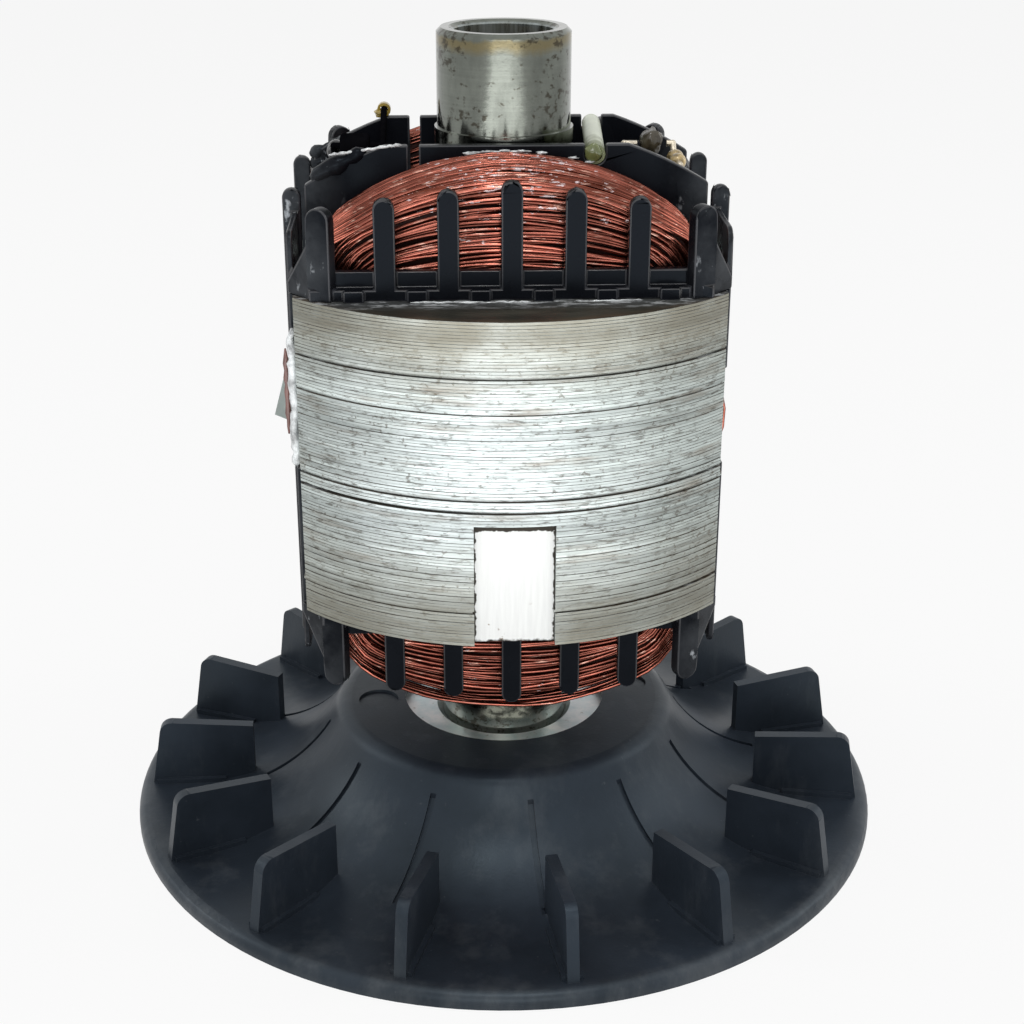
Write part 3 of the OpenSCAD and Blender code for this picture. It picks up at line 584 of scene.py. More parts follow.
def resin_glint_finish(colours):
    """Varnish set in thick, glossy beads, painted pale as glints of light on them."""
    resin_and_glint = Finish("resin_glint_finish")
    cloud = resin_and_glint.grain(420.0, 5.0, 0.6)
    return resin_and_glint.surface(
        Base_Color=cloud.span(0.36, 0.60).tint(colours.resin_and_glint, 0.35, 1.0),
        Roughness=cloud.span(0.3, 0.7, 0.12, 0.3), Coat_Weight=0.5, Coat_Roughness=0.08,
        Normal=cloud.bump(0.5, 0.3 * MM))


# Mesh building

def only(kind, parts):
    """The parts of one kind among a mesh's vertices, edges and faces."""
    return [part for part in parts if isinstance(part, kind)]


def to_mesh(name, bm):
    """Ends a bmesh in a mesh."""
    mesh = bpy.data.meshes.new(name)
    bm.to_mesh(mesh)
    bm.free()
    return mesh


def add_piece(name, bm, materials, stands_for=()):
    """Turns a mesh into a piece that rides on the rotor."""
    mesh = to_mesh(name, bm)
    for material in materials:
        mesh.materials.append(material)
    piece = bpy.data.objects.new(name, mesh)
    bpy.context.scene.collection.objects.link(piece)
    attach(piece, BODY)
    if stands_for:
        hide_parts(*stands_for)


def finish_node(name, material, edge=0.0, edge_material=None, clamp=True):
    """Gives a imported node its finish, and rounds its edges if asked."""
    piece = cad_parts[name]
    piece.data.materials.clear()
    piece.data.materials.append(material)
    if not edge:
        return
    piece.data.materials.append(edge_material)
    weld = piece.modifiers.new("weld", "WELD")
    weld.merge_threshold = MERGE
    bevel = piece.modifiers.new("edges", "BEVEL")
    bevel.width = edge
    bevel.segments = 2
    bevel.limit_method = "ANGLE"
    bevel.angle_limit = math.radians(35)
    bevel.use_clamp_overlap = clamp
    bevel.material = 1
    level = piece.modifiers.new("shading", "WEIGHTED_NORMAL")
    level.keep_sharp = True


def swept(bm, profile, angle, steps, centre, axis):
    """Turns a profile's edges round an axis and gives the last profile."""
    made = bmesh.ops.spin(bm, geom=profile, cent=centre, axis=axis, angle=angle,
                          steps=steps, use_merge=False, use_duplicate=False)
    return made["geom_last"]


def drawn(bm, profile, move, steps):
    """Draws a profile's edges out in a straight line and gives the last profile."""
    for _ in range(steps):
        made = bmesh.ops.extrude_edge_only(bm, edges=only(bmesh.types.BMEdge, profile))
        profile = only((bmesh.types.BMVert, bmesh.types.BMEdge), made["geom"])
        verts = only(bmesh.types.BMVert, profile)
        bmesh.ops.translate(bm, vec=Vector(move) / steps, verts=verts)
    return profile


def rounded_off(bm):
    """Merges doubles, turns the faces outwards and shades them smooth."""
    bmesh.ops.remove_doubles(bm, verts=bm.verts[:], dist=MERGE)
    bmesh.ops.recalc_face_normals(bm, faces=bm.faces[:])
    for face in bm.faces:
        face.smooth = True
    return bm


def smoothstep(value, low, high):
    """A soft step from 0 to 1."""
    part = max(0.0, min(1.0, (value - low) / (high - low)))
    return part * part * (3 - 2 * part)


LUMP_SHIFT = Vector((7.3, 3.1, 5.7))
LUMP_SCALE = 1.8
BEAD_END = 0.3


def lump(bm, centre, size, seed, rough=0.25, detail=3):
    """Adds a lumpy drop; centre and size are in millimetres."""
    made = bmesh.ops.create_icosphere(bm, subdivisions=detail, radius=1.0)
    shift = LUMP_SHIFT * seed
    for vert in made["verts"]:
        swell = 0.5 + 0.5 * rough * noise.noise(vert.co * LUMP_SCALE + shift)
        vert.co = Vector([c + s * swell * part for c, s, part in zip(centre, size, vert.co)]) * MM


def bead(bm, start, end, radius, seed, wave=0.0, steps=14, sides=7):
    """Adds a lumpy bead with thin ends between two points, in millimetres."""
    draw = random.Random(seed)
    way = Vector(end) - Vector(start)
    turn = way.to_track_quat("Z", "Y").to_matrix().to_4x4()
    side = way.cross(Vector((0.3, 0.5, 0.8))).normalized()
    spots = [Vector(start) + way * k / steps for k in range(steps + 1)]
    spots = [spot + side * draw.uniform(-wave, wave) for spot in spots]
    sizes = [draw.uniform(0.6, 1.1) for _ in spots]
    sizes[0] = BEAD_END
    sizes[-1] = BEAD_END
    sizes = [size * radius * MM for size in sizes]
    ring = bmesh.ops.create_circle(bm, segments=sides, radius=sizes[0], cap_ends=True,
                                   matrix=Matrix.Translation(spots[0] * MM) @ turn)["verts"]
    edges = list(dict.fromkeys(edge for vert in ring for edge in vert.link_edges))
    for k in range(1, steps + 1):
        made = bmesh.ops.extrude_edge_only(bm, edges=edges)["geom"]
        ring = only(bmesh.types.BMVert, made)
        inner = set(ring)
        edges = [edge for edge in only(bmesh.types.BMEdge, made) if set(edge.verts) <= inner]
        bmesh.ops.translate(bm, vec=(spots[k] - spots[k - 1]) * MM, verts=ring)
        grow = sizes[k] / sizes[k - 1]
        bmesh.ops.scale(bm, vec=(grow, grow, grow), verts=ring,
                        space=Matrix.Translation(-spots[k] * MM))
    bmesh.ops.edgeloop_fill(bm, edges=edges)


def add_deposit(name, material, beads=(), lumps=(), stands_for=()):
    """Adds one piece of beads and lumps, each given by its row of values."""
    bm = bmesh.new()
    for row in beads:
        bead(bm, *row)
    for row in lumps:
        lump(bm, *row)
    add_piece(name, rounded_off(bm), [material], stands_for)


# Core

POLE_STEPS = 64
POCKET_SIDE_STEPS = 26
BORE_SIDES = 48


def shoe_back(sizes):
    """Distance from the middle plane to the inner side of the pole shoes."""
    return math.sqrt(CORE_HIGH.y ** 2 - CORE_HIGH.x ** 2) - sizes.tip


def sheet_outline(bm, sizes, radius, pocket):
    """Edges of one sheet: two pole arcs, the slots and the bore."""
    tip_x = CORE_HIGH.x
    tip_angle = math.asin(tip_x / radius)
    tip_y = radius * math.cos(tip_angle)
    shoe_y = shoe_back(sizes)
    neck_x = sizes.neck / 2
    first = bm.verts.new((-tip_x, -tip_y, 0))

    def arc(start, angle, steps):
        profile = swept(bm, [start], angle, steps, Vector((0, 0, 0)), Vector((0, 0, 1)))
        return only(bmesh.types.BMVert, profile)[0]

    def lines(start, *corners):
        for x, y in corners:
            end = bm.verts.new((x, y, 0))
            bm.edges.new((start, end))
            start = end
        return start

    if pocket:
        half = sizes.pocket_width / 2
        gap = math.asin(half / radius)
        floor_y = sizes.pocket_depth - CORE_HIGH.y
        last = arc(first, tip_angle - gap, POCKET_SIDE_STEPS)
        last = lines(last, (-half, floor_y), (half, floor_y), (half, -radius * math.cos(gap)))
        last = arc(last, tip_angle - gap, POCKET_SIDE_STEPS)
    else:
        last = arc(first, 2 * tip_angle, POLE_STEPS)
    last = lines(last, (tip_x, -shoe_y), (neck_x, -shoe_y), (neck_x, shoe_y), (tip_x, shoe_y),
                 (tip_x, tip_y))
    last = arc(last, 2 * tip_angle, POLE_STEPS)
    last = lines(last, (-tip_x, shoe_y), (-neck_x, shoe_y), (-neck_x, -shoe_y), (-tip_x, -shoe_y))
    bm.edges.new((last, first))
    bmesh.ops.create_circle(bm, segments=BORE_SIDES, radius=sizes.bore / 2)


# Places of the finishes in the core's list
SHEET, MILLED, JOINT, DIPPED = range(4)
FACING = 0.9
CLOSE = 0.01 * MM


def sheet_mesh(sizes, radius, pocket):
    """One sheet with dark broken edges on its pole arcs, its foot at z = 0."""
    bm = bmesh.new()
    sheet_outline(bm, sizes, radius, pocket)
    bmesh.ops.triangle_fill(bm, edges=bm.edges[:], use_beauty=True, normal=(0, 0, 1))
    made = bmesh.ops.extrude_face_region(bm, geom=bm.faces[:])
    lifted = only(bmesh.types.BMVert, made["geom"])
    bmesh.ops.translate(bm, vec=(0, 0, sizes.sheet), verts=lifted)
    bmesh.ops.recalc_face_normals(bm, faces=bm.faces[:])
    rims = [
        edge for edge in bm.edges
        if len(edge.link_faces) == 2 and edge.calc_face_angle(0) > math.radians(60)
        and abs(edge.verts[0].co.z - edge.verts[1].co.z) < CLOSE
        and all(abs(vert.co.xy.length - radius) < CLOSE for vert in edge.verts)
    ]
    made = bmesh.ops.bevel(bm, geom=rims, offset=sizes.sheet_edge, offset_type="OFFSET",
                           affect="EDGES", segments=1, profile=0.5, material=-1,
                           clamp_overlap=True)
    half = sizes.pocket_width / 2
    floor_y = sizes.pocket_depth - CORE_HIGH.y
    for face in bm.faces:
        face.material_index = DIPPED if abs(face.normal.z) > FACING else SHEET
        middle = face.calc_center_median()
        # The pocket's floor takes the milled finish, and its side walls the dark joint finish as
        # painted shade.
        if pocket and middle.y < floor_y + 0.2 * MM and abs(middle.x) < half + 0.1 * MM:
            if abs(face.normal.y) > FACING:
                face.material_index = MILLED
            elif abs(face.normal.x) > FACING:
                face.material_index = JOINT
    for face in made["faces"]:
        face.material_index = JOINT
    return to_mesh("sheet", bm)


# Heights of the open joints in mm, and how far each one gapes
OPEN_JOINTS = {109.3: 1.0, 102.8: 0.5, 86.9: 0.9, 84.6: 1.1, 65.3: 0.8}
JOINT_SLIP = 0.6
# How many steps back a sheet may lie, the commoner ones named twice
SHEET_STEPS = (0, 0, 1, 1, 2)
SHEET_SEED = 11


class ROTOR_OT_stack_core(bpy.types.Operator):
    """Stacks the core's sheets, with open joints and the balancing pocket"""

    bl_idname = "rotor.stack_core"
    bl_label = "Stack the core"

    def execute(self, context):
        sizes = context.scene.rotor_sizes
        colours = context.scene.rotor_colours
        draw = random.Random(SHEET_SEED)
        count = round(CORE_TALL / sizes.sheet)
        pitch = CORE_TALL / count
        steps = [0.0, sizes.sheet_step, 2 * sizes.sheet_step]
        gapes = [part * sizes.open_joint for part in OPEN_JOINTS.values()]
        kinds = {
            (depth, pocket): sheet_mesh(sizes, CORE_HIGH.y - depth, pocket)
            for depth in steps + gapes for pocket in (True, False)
        }
        stack = bmesh.new()
        for i in range(count):
            foot = CORE_LOW.z + i * pitch
            middle = foot + pitch / 2
            depth = steps[draw.choice(SHEET_STEPS)]
            slip = 0.0
            for joint, part in OPEN_JOINTS.items():
                if abs(middle - joint * MM) < pitch / 2:
                    depth = part * sizes.open_joint
                    slip = draw.uniform(-JOINT_SLIP, JOINT_SLIP) * depth
            sheet = kinds[depth, middle < CORE_LOW.z + sizes.pocket_height].copy()
            sheet.transform(Matrix.Translation((slip, 0, foot)))
            stack.from_mesh(sheet)
            bpy.data.meshes.remove(sheet)
        for mesh in kinds.values():
            bpy.data.meshes.remove(mesh)
        finishes = [
            sheet_steel(colours), milled_steel(colours, sizes),
            joint_shade(colours), dipped_face(colours),
        ]
        add_piece("core_sheets", stack, finishes, ["lamination_core"])
        return {"FINISHED"}


# Coils

WIRE_SIDES = 6
SIDE_STEPS = 8
CORNER_STEPS = 6
CROWN_STEPS = 22
COIL_SEEDS = {"front_coil": 5, "rear_coil": 6}
# Fineness of a turn's stray, and the shares of it that move the turn inwards
STRAY_SCALE = 58
STRAY_DEEP = 0.7
STRAY_SIDE = 0.6
# Where the coil's outer parts are pressed back, and the room left at wall and floor
SQUEEZE_X = (27 * MM, 32.5 * MM)
WALL_GAP = 0.05 * MM
FLOOR_GAP = 0.1 * MM
INNER_SAG = 0.8
LAYER_STEP = 0.62 * MM
# Share of the face's turns that lie hidden, and each turn's brightest tone by its place, the inner
# turns painted darker as shade
HIDDEN_SHARE = 0.08
BRIGHTEST = {"outer": 1.0, "face": 1.0, "inner": 0.6}
DARKEST = 0.15
FILLING_INSET = 1.7 * MM


class CoilPath:
    """The line that one turn follows: straight sides, corner arcs and two wide crowns."""

    def __init__(self, sizes, inset):
        self.side_x = CORE_HIGH.x - sizes.setback - sizes.side_share * inset
        self.spring = CORE_HALF - sizes.spring
        corner = sizes.corner - sizes.corner_share * inset
        self.corner_x = self.side_x - corner
        apex = CORE_HALF + sizes.arch - inset
        rise = apex - self.spring - corner
        reach = (self.corner_x ** 2 + rise ** 2) / (2 * rise)
        self.crown_z = apex - reach - corner
        self.crown_half = math.asin(self.corner_x / reach)

    def end(self, bm, profile, y, way):
        """Sweeps a profile round one end: a corner, the crown and the other corner."""
        turn = Vector((0, -1, 0))
        quarter = math.pi / 2 - self.crown_half
        high = CORE_MID_Z + way * self.spring
        crown = Vector((0, y, CORE_MID_Z + way * self.crown_z))
        near, far = [Vector((side * self.corner_x, y, high)) for side in (way, -way)]
        profile = swept(bm, profile, quarter, CORNER_STEPS, near, turn)
        profile = swept(bm, profile, 2 * self.crown_half, CROWN_STEPS, crown, turn)
        return swept(bm, profile, quarter, CORNER_STEPS, far, turn)

    def sweep(self, bm, profile, y):
        """Sweeps a profile once round the coil, from the middle of its right side."""
        for way in (1, -1):
            profile = drawn(bm, profile, (0, 0, way * self.spring), SIDE_STEPS)
            profile = self.end(bm, profile, y, way)
            profile = drawn(bm, profile, (0, 0, -way * self.spring), SIDE_STEPS)


class CoilSpace:
    """Distances from the middle plane between which a coil's turns lie."""

    def __init__(self, sizes):
        self.wall = min(abs(COIL_LOW.y), abs(COIL_HIGH.y))
        self.face = max(abs(COIL_LOW.y), abs(COIL_HIGH.y))
        free = shoe_back(sizes) - sizes.window_gap - self.wall
        self.lost = 1 - free / (self.face - self.wall)
        self.window = sizes.neck / 2 + sizes.window_gap


def wound_turn(sizes, inset, y):
    """One closed turn of wire."""
    path = CoilPath(sizes, inset)
    bm = bmesh.new()
    spot = Matrix.Translation((path.side_x, y, CORE_MID_Z))
    ring = bmesh.ops.create_circle(bm, segments=WIRE_SIDES, radius=sizes.wire / 2,
                                   cap_ends=False, matrix=spot)["verts"]
    path.sweep(bm, ring + bm.edges[:], y)
    return rounded_off(bm)


def shoulder_at(sizes, space, depth, high):
    """How far an outer turn lies below its arch above the core, or beyond it below the core."""
    forward = max(0.0, (depth - space.wall) / (space.face - space.wall))
    return sizes.shoulder * forward ** 2.5 if high > 0 else -sizes.sag * forward ** 2


def settle(bm, sizes, space, way, draw, outer):
    """Lets a turn stray, sink into the slot and bulge between the side plates."""
    shift = Vector((draw.uniform(0, 50), draw.uniform(0, 50), draw.uniform(0, 50)))
    lean = 0.0 if outer else draw.uniform(-1, 1) * sizes.drift
    swell_r = (sizes.bulge_half ** 2 + sizes.bulge ** 2) / (2 * sizes.bulge)
    for vert in bm.verts:
        high = vert.co.z - CORE_MID_Z
        side = math.copysign(1, vert.co.x)
        across = abs(vert.co.x)
        free = smoothstep(abs(high), CORE_HALF - 2 * MM, CORE_HALF + 4 * MM)
        stray = noise.noise_vector(vert.co * STRAY_SCALE + shift) * sizes.wander
        stray *= 0.2 + 0.8 * free
        squeeze = max(1 - free, smoothstep(across, *SQUEEZE_X))
        depth = abs(vert.co.y) - space.wall
        depth = space.wall + depth * (1 - squeeze * space.lost) - abs(stray.y) * STRAY_DEEP
        vert.co.y = way * max(depth, space.wall + WALL_GAP)
        fall = -abs(stray.z) if outer else stray.z
        if outer:
            fall -= shoulder_at(sizes, space, abs(vert.co.y), high)
        elif high < 0:
            fall -= shoulder_at(sizes, space, abs(vert.co.y), high) * INNER_SAG
        reach = abs(high) + (fall + lean * vert.co.x / CORE_HIGH.x) * free
        if across < space.window and abs(high) > CORE_HALF:
            reach = max(reach, CORE_HALF + sizes.floor + FLOOR_GAP)
        vert.co.z = CORE_MID_Z + math.copysign(reach, high)
        off = abs(high - sizes.bulge_mid)
        if off < sizes.bulge_half:
            swell = math.sqrt(swell_r ** 2 - off ** 2) - swell_r + sizes.bulge
            grown = smoothstep(across, space.window, CORE_HIGH.x - sizes.setback)
            vert.co.x += side * swell * grown
        else:
            vert.co.x -= side * abs(stray.x) * STRAY_SIDE * free


def coil_layers(sizes, space):
    """Inset, depth and place of each turn."""
    radius = sizes.wire / 2
    pitch = sizes.wire_pitch
    face = space.face - radius
    across = int((space.face - space.wall - sizes.wire) / pitch)
    deep = int((sizes.arch - sizes.floor - sizes.wire) / pitch)
    turns = []
    for k in range(across + 1):
        turns.append((radius, space.wall + radius + k * pitch, "outer"))
    for k in range(1, deep + 1):
        inset = radius + k * pitch
        if inset > sizes.shoulder + radius:
            turns.append((inset, face, "face"))
            turns.append((inset - pitch / 2, face - LAYER_STEP, "inner"))
        turns.append((inset, space.wall + radius, "inner"))
    return turns


def wind_coil(sizes, way, seed):
    """The visible turns of one coil, over a dark body of inner turns."""
    draw = random.Random(seed)
    noise.seed_set(seed)
    space = CoilSpace(sizes)
    coil = bmesh.new()
    carrier = bpy.data.meshes.new("turn")
    tones = []
    for inset, depth, place in coil_layers(sizes, space):
        if place == "face" and draw.random() < HIDDEN_SHARE:
            continue
        bm = wound_turn(sizes, inset, way * depth)
        settle(bm, sizes, space, way, draw, place == "outer")
        bm.to_mesh(carrier)
        bm.free()
        coil.from_mesh(carrier)
        tones.append((len(coil.verts), draw.uniform(DARKEST, 1.0) * BRIGHTEST[place]))
    bpy.data.meshes.remove(carrier)
    layer = coil.verts.layers.float.new(TURN_TONE)
    coil.verts.ensure_lookup_table()
    first = 0
    for last, tone in tones:
        for vert in coil.verts[first:last]:
            vert[layer] = tone
        first = last
    add_filling(coil, sizes, space, way)
    return coil


def add_filling(coil, sizes, space, way):
    """Adds the inner turns as one body, painted dark as shade, behind the visible ones."""
    body = bmesh.new()
    inset = FILLING_INSET
    path = CoilPath(sizes, inset + sizes.shoulder / 2)
    front = way * (space.face - inset)
    ends = []
    for side in (1, -1):
        first = body.verts.new((side * path.side_x, front, CORE_MID_Z + side * path.spring))
        last = only(bmesh.types.BMVert, path.end(body, [first], front, side))[0]
        ends.append((first, last))
    body.edges.new((ends[0][1], ends[1][0]))
    body.edges.new((ends[1][1], ends[0][0]))
    window_z = CORE_HALF + sizes.floor + 0.2 * MM
    corners = [
        body.verts.new((x * space.window, front, CORE_MID_Z + z * window_z))
        for x, z in ((1, 1), (-1, 1), (-1, -1), (1, -1))
    ]
    for i, corner in enumerate(corners):
        body.edges.new((corner, corners[i - 1]))
    bmesh.ops.triangle_fill(body, edges=body.edges[:], use_beauty=True, normal=(0, -1, 0))
    made = bmesh.ops.extrude_face_region(body, geom=body.faces[:])
    slot = space.wall + (space.face - space.wall) * (1 - space.lost)
    for vert in body.verts:
        if abs(vert.co.x) > sizes.neck / 2:
            vert.co.y = way * (slot - inset)
    for vert in only(bmesh.types.BMVert, made["geom"]):
        vert.co.y = way * (space.wall + 0.5 * sizes.wire)
    bmesh.ops.recalc_face_normals(body, faces=body.faces[:])
    # The body takes the second finish, painted shade.
    for face in body.faces:
        face.material_index = 1
    mesh = to_mesh("filling", body)
    coil.from_mesh(mesh)
    bpy.data.meshes.remove(mesh)


class ROTOR_OT_wind_coils(bpy.types.Operator):
    """Winds the two coils of enamelled wire"""

    bl_idname = "rotor.wind_coils"
    bl_label = "Wind the coils"

    def execute(self, context):
        sizes = context.scene.rotor_sizes
        colours = context.scene.rotor_colours
        finishes = [enamelled_wire(colours), coil_shade(colours)]
        for name, way in (("front_coil", -1), ("rear_coil", 1)):
            coil = wind_coil(sizes, way, COIL_SEEDS[name])
            add_piece(name + "_turns", coil, finishes, [name])
        return {"FINISHED"}


# Mouldings and metal

class ROTOR_OT_dress_insulators(bpy.types.Operator):
    """Finishes the two end insulators and the slot films"""

    bl_idname = "rotor.dress_insulators"
    bl_label = "Dress the insulators"

    def execute(self, context):
        sizes = context.scene.rotor_sizes
        colours = context.scene.rotor_colours
        moulding = black_moulding(colours)
        worn = rubbed_moulding("moulding_edge", colours.moulding_edge, 0.45)
        for name in ("upper_end_insulator", "lower_end_insulator"):
            finish_node(name, moulding, sizes.edge, worn, clamp=False)
        film = slot_film(colours)
        for name in ("left_slot_film", "right_slot_film"):
            finish_node(name, film)
        return {"FINISHED"}


class ROTOR_OT_dress_fan(bpy.types.Operator):
    """Finishes the fan and its bush"""

    bl_idname = "rotor.dress_fan"
    bl_label = "Dress the fan"

    def execute(self, context):
        sizes = context.scene.rotor_sizes
        colours = context.scene.rotor_colours
        worn = rubbed_moulding("fan_edge", colours.fan_edge, 0.34)
        finish_node("fan", fan_moulding(colours), sizes.edge, worn)
        finish_node("fan_bush", bush_steel(colours))
        return {"FINISHED"}


class ROTOR_OT_dress_shaft(bpy.types.Operator):
    """Finishes the shaft"""

    bl_idname = "rotor.dress_shaft"
    bl_label = "Dress the shaft"

    def execute(self, context):
        finish_node("shaft", shaft_steel(context.scene.rotor_colours))
        return {"FINISHED"}


# Leads and varnish

# Lumps: middle and size in mm, seed, roughness and fineness
RIGHT_COAT = ((27.6, -0.9, 138.8), (4.0, 4.8, 5.4), 3, 0.45)
YELLOW_DROP = ((-23.1, 14.4, 141.8), (3.0, 2.6, 1.9), 40, 0.3)
SOAKED_END = ((15.5, -15.7, 139.8), (3.1, 1.3, 3.3), 41, 0.2)

# Beads: two ends and radius in mm, seed, wave in mm, steps along and sides round
# Varnish beads painted pale as glints of light: along the slot, the seam, the pole tops and the
# wall's top edge.
RESIN_GLINT_BEADS = (
    ((-38.7, -33.4, 113), (-38.7, -33.4, 87), 0.9, 2, 0.3, 28),
    ((-7.6, -15.9, 140.0), (4.4, -15.9, 140.2), 0.24, 8, 0.2, 22, 5),
    ((-17.5, -39.7, 119.1), (3.3, -39.7, 119.1), 0.22, 5, 0.35, 26, 5),
    ((10.6, -39.8, 119.1), (22.5, -39.3, 119.1), 0.18, 6, 0.3, 16, 5),
    ((-32.0, -15.5, 139.7), (-18.8, -15.3, 141.4), 0.3, 7, 0.3, 24),
)
SLOT_STRAND = ((-39.9, -32.6, 109), (-39.9, -32.6, 93), 0.6, 12, 0.04, 12, 6)
MELTED_BEADS = (
    ((-35.4, -14.7, 135.4), (-25.4, -14.7, 140.3), 1.9, 13, 0.3, 9, 10),
    ((-30.2, 14.6, 136.5), (-37.4, 14.6, 133.7), 1.4, 9, 0.12, 10, 8),
    ((-30.2, 14.6, 134.4), (-37.4, 14.6, 131.6), 1.5, 10, 0.12, 10, 8),
)

# Drops on the seam between coil and wall, painted pale as glints of light: place along the arch and
# width in mm
SEAM_GLINT_DROPS = (
    (-6.8, 3.4), (-3.4, 3.0), (-0.4, 2.6), (2.4, 1.8), (6.2, 2.8), (11.8, 2.6), (14.8, 2.2),
)
SEAM_Y = -16.1
SEAM_TOP = 140.3
SEAM_BEND = 103
SEAM_SEED = 20


def seam_lumps():
    """The seam's painted glints as rows for lumps, along the arch."""
    return [
        ((x, SEAM_Y, SEAM_TOP - x * x / SEAM_BEND), (0.7 * wide, 0.7, 0.5), SEAM_SEED + k, 0.9, 2)
        for k, (x, wide) in enumerate(SEAM_GLINT_DROPS)
    ]


class ROTOR_OT_dress_leads(bpy.types.Operator):
    """Finishes the diodes, leads, sleeves and solder"""

    bl_idname = "rotor.dress_leads"
    bl_label = "Dress the leads"

    def execute(self, context):
        colours = context.scene.rotor_colours
        black = coated("diode_black", colours.diode_black, 0.3, coat=0.0, specular=0.0)
        finishes = {
            "left_diode": black,
            "left_diode_leads": black,
            "right_diode_leads": coated("tinned_lead", colours.lead, 0.35, metallic=0.8),
            "left_lead_sleeve": coated("yellow_sleeve", colours.yellow_sleeve, 0.3),
            "coil_link_wire": coated("link_wire", colours.copper, 0.35, metallic=0.8),
            "coil_link_sleeve": link_sleeve(colours),
            "solder_joints": varnished_solder(colours),
        }
        for name, material in finishes.items():
            finish_node(name, material)
        brown = coated("diode_brown", colours.diode_brown, 0.28, spread=0.7, coat=0.2)
        add_deposit("right_diode_coat", brown, lumps=[RIGHT_COAT],
                    stands_for=["right_diode"])
        return {"FINISHED"}


class ROTOR_OT_drop_varnish(bpy.types.Operator):
    """Adds the varnish beads with their painted glints, the loose strand, the melted moulding and
    the soaked ends
    """

    bl_idname = "rotor.drop_varnish"
    bl_label = "Drop the varnish"

    def execute(self, context):
        colours = context.scene.rotor_colours
        resin_and_glint = resin_glint_finish(colours)
        add_deposit("resin_glint_drops", resin_and_glint, RESIN_GLINT_BEADS, seam_lumps())
        wire = coated("slot_strand", colours.strand, 0.35)
        add_deposit("slot_strand", wire, [SLOT_STRAND])
        add_deposit("melted_moulding", black_moulding(colours), MELTED_BEADS)
        glass = coated("yellow_drop", colours.yellow_sleeve, 0.15, coat=0.8)
        add_deposit("yellow_drop", glass, lumps=[YELLOW_DROP])
        olive = coated("soaked_end", colours.soaked_end, 0.2, coat=0.5)
        add_deposit("soaked_end", olive, lumps=[SOAKED_END])
        return {"FINISHED"}


# Studio

CAMERA_SPOT = Vector((-12.8, -333.5, 203.5)) * MM
CAMERA_PITCH = 22.78
CAMERA_TURN = -2.2
CAMERA_LENS = 62.26
CAMERA_SHIFT = 0.0080
CAMERA_SENSOR = 36.0
CAMERA_NEAR = 0.01

WHITE = (1.0, 1.0, 1.0, 1.0)
FLOOR_HALF = 6.0
FLOOR_GLOW = 0.86
WORLD_LIGHT = 0.45

# Lamps: place and aim in metres, width, height and radiance
MIDDLE = (0.0, 0.0, 0.08)
LAMPS = {
    "card": ((0.0, -0.66, 0.012), (0.0, -0.66, 1.0), 0.80, 0.96, 2.2),
    "front": ((-0.05, -1.2, 0.5), MIDDLE, 0.5, 0.5, 3.8),
    "top": ((0.0, -0.44, 1.1), MIDDLE, 0.24, 0.24, 16.0),
    "left": ((-0.9, 0.15, 0.55), MIDDLE, 0.35, 0.5, 3.0),
    "right": ((0.9, 0.1, 0.55), MIDDLE, 0.35, 0.5, 2.6),
}


def seen_directly(tree):
    """1 for rays that show the background, 0 for rays that light the object."""
    rays = node(tree, "ShaderNodeLightPath").outputs
    shown = Value(rays["Is Camera Ray"]).or_more(Value(rays["Is Glossy Ray"]))
    return shown.or_more(Value(rays["Is Transmission Ray"]))


def add_floor(colours):
    """A wide pale floor that keeps a soft shadow."""
    bm = bmesh.new()
    bmesh.ops.create_grid(bm, x_segments=1, y_segments=1, size=FLOOR_HALF)
    floor = bpy.data.objects.new("floor", to_mesh("floor", bm))
    bpy.context.scene.collection.objects.link(floor)
    material = new_material("studio_floor")
    tree = material.node_tree
    matt = output(tree, "ShaderNodeBsdfDiffuse", "BSDF", {"Color": rgba(colours.floor)})
    glow = output(tree, "ShaderNodeEmission", "Emission", {"Color": WHITE, "Strength": 1.0})
    lit = seen_directly(tree) * FLOOR_GLOW
    both = output(tree, "ShaderNodeMixShader", "Shader", {0: lit, 1: matt, 2: glow})
    node(tree, "ShaderNodeOutputMaterial", {"Surface": both})
    floor.data.materials.append(material)


def add_world():
    """White surroundings that light the object softly."""
    world = bpy.data.worlds.new("studio")
    world.use_nodes = True
    tree = world.node_tree
    tree.nodes.clear()
    strength = seen_directly(tree).span(0.0, 1.0, WORLD_LIGHT, 1.0)
    sky = output(tree, "ShaderNodeBackground", "Background", {"Color": WHITE, "Strength": strength})
    node(tree, "ShaderNodeOutputWorld", {"Surface": sky})
    bpy.context.scene.world = world


def add_lamp(name, spot, aim, wide, high, radiance):
    """A soft lamp that faces a point, as bright as given over its whole face."""
    data = bpy.data.lights.new(name, "AREA")
    data.shape = "RECTANGLE"
    data.size = wide
    data.size_y = high
    data.energy = radiance * math.pi * wide * high
    lamp = bpy.data.objects.new(name, data)
    lamp.location = spot
    lamp.rotation_euler = (Vector(aim) - Vector(spot)).to_track_quat("-Z", "Y").to_euler()
    lamp.visible_camera = False
    bpy.context.scene.collection.objects.link(lamp)


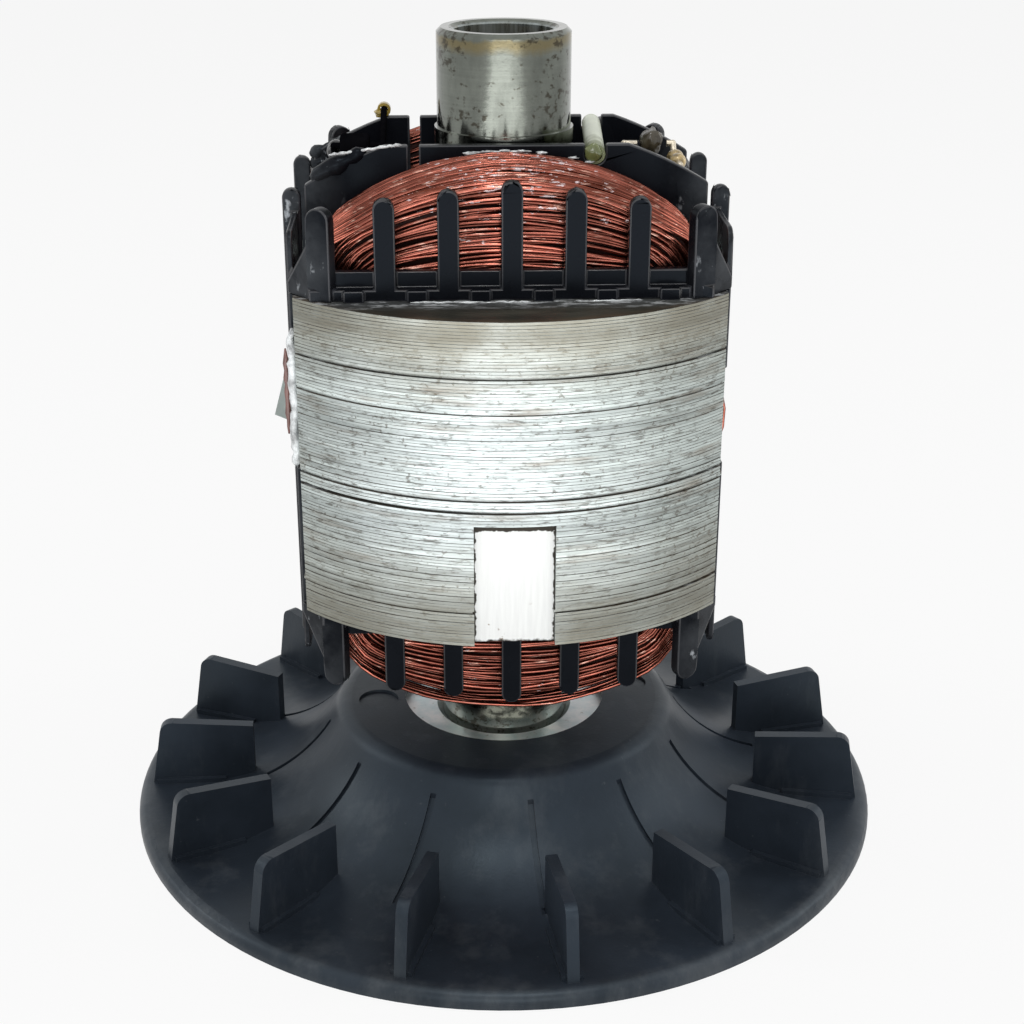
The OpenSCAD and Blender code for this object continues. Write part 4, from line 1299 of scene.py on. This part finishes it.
class ROTOR_OT_set_stage(bpy.types.Operator):
    """Sets the floor, the lamps and the camera"""

    bl_idname = "rotor.set_stage"
    bl_label = "Set the stage"

    def execute(self, context):
        scene = context.scene
        scene.view_settings.view_transform = "Standard"
        add_floor(scene.rotor_colours)
        add_world()
        for name, values in LAMPS.items():
            add_lamp(name, *values)
        data = bpy.data.cameras.new("camera")
        data.lens = CAMERA_LENS
        data.sensor_width = CAMERA_SENSOR
        data.shift_x = CAMERA_SHIFT
        data.clip_start = CAMERA_NEAR
        camera = bpy.data.objects.new("camera", data)
        camera.location = CAMERA_SPOT
        camera.rotation_euler = (math.radians(90 - CAMERA_PITCH), 0, math.radians(CAMERA_TURN))
        scene.collection.objects.link(camera)
        scene.camera = camera
        return {"FINISHED"}


# Panel and registration

STEPS = (
    ROTOR_OT_stack_core,
    ROTOR_OT_wind_coils,
    ROTOR_OT_dress_insulators,
    ROTOR_OT_dress_leads,
    ROTOR_OT_drop_varnish,
    ROTOR_OT_dress_shaft,
    ROTOR_OT_dress_fan,
    ROTOR_OT_set_stage,
)


class ROTOR_PT_dresser(bpy.types.Panel):
    """Lists the steps that dress the rotor"""

    bl_idname = "ROTOR_PT_dresser"
    bl_label = "Generator rotor"
    bl_space_type = "VIEW_3D"
    bl_region_type = "UI"
    bl_category = "Rotor"

    def draw(self, context):
        for step in STEPS:
            self.layout.operator(step.bl_idname)


CLASSES = (RotorSizes, RotorColours, *STEPS, ROTOR_PT_dresser)


def register():
    for kind in CLASSES:
        bpy.utils.register_class(kind)
    bpy.types.Scene.rotor_sizes = PointerProperty(type=RotorSizes)
    bpy.types.Scene.rotor_colours = PointerProperty(type=RotorColours)


def unregister():
    del bpy.types.Scene.rotor_colours
    del bpy.types.Scene.rotor_sizes
    for kind in reversed(CLASSES):
        bpy.utils.unregister_class(kind)


def main():
    """Runs every step."""
    register()
    bpy.ops.rotor.stack_core()
    bpy.ops.rotor.wind_coils()
    bpy.ops.rotor.dress_insulators()
    bpy.ops.rotor.dress_leads()
    bpy.ops.rotor.drop_varnish()
    bpy.ops.rotor.dress_shaft()
    bpy.ops.rotor.dress_fan()
    bpy.ops.rotor.set_stage()
    bpy.context.view_layer.update()


if __name__ == "__main__":
    main()
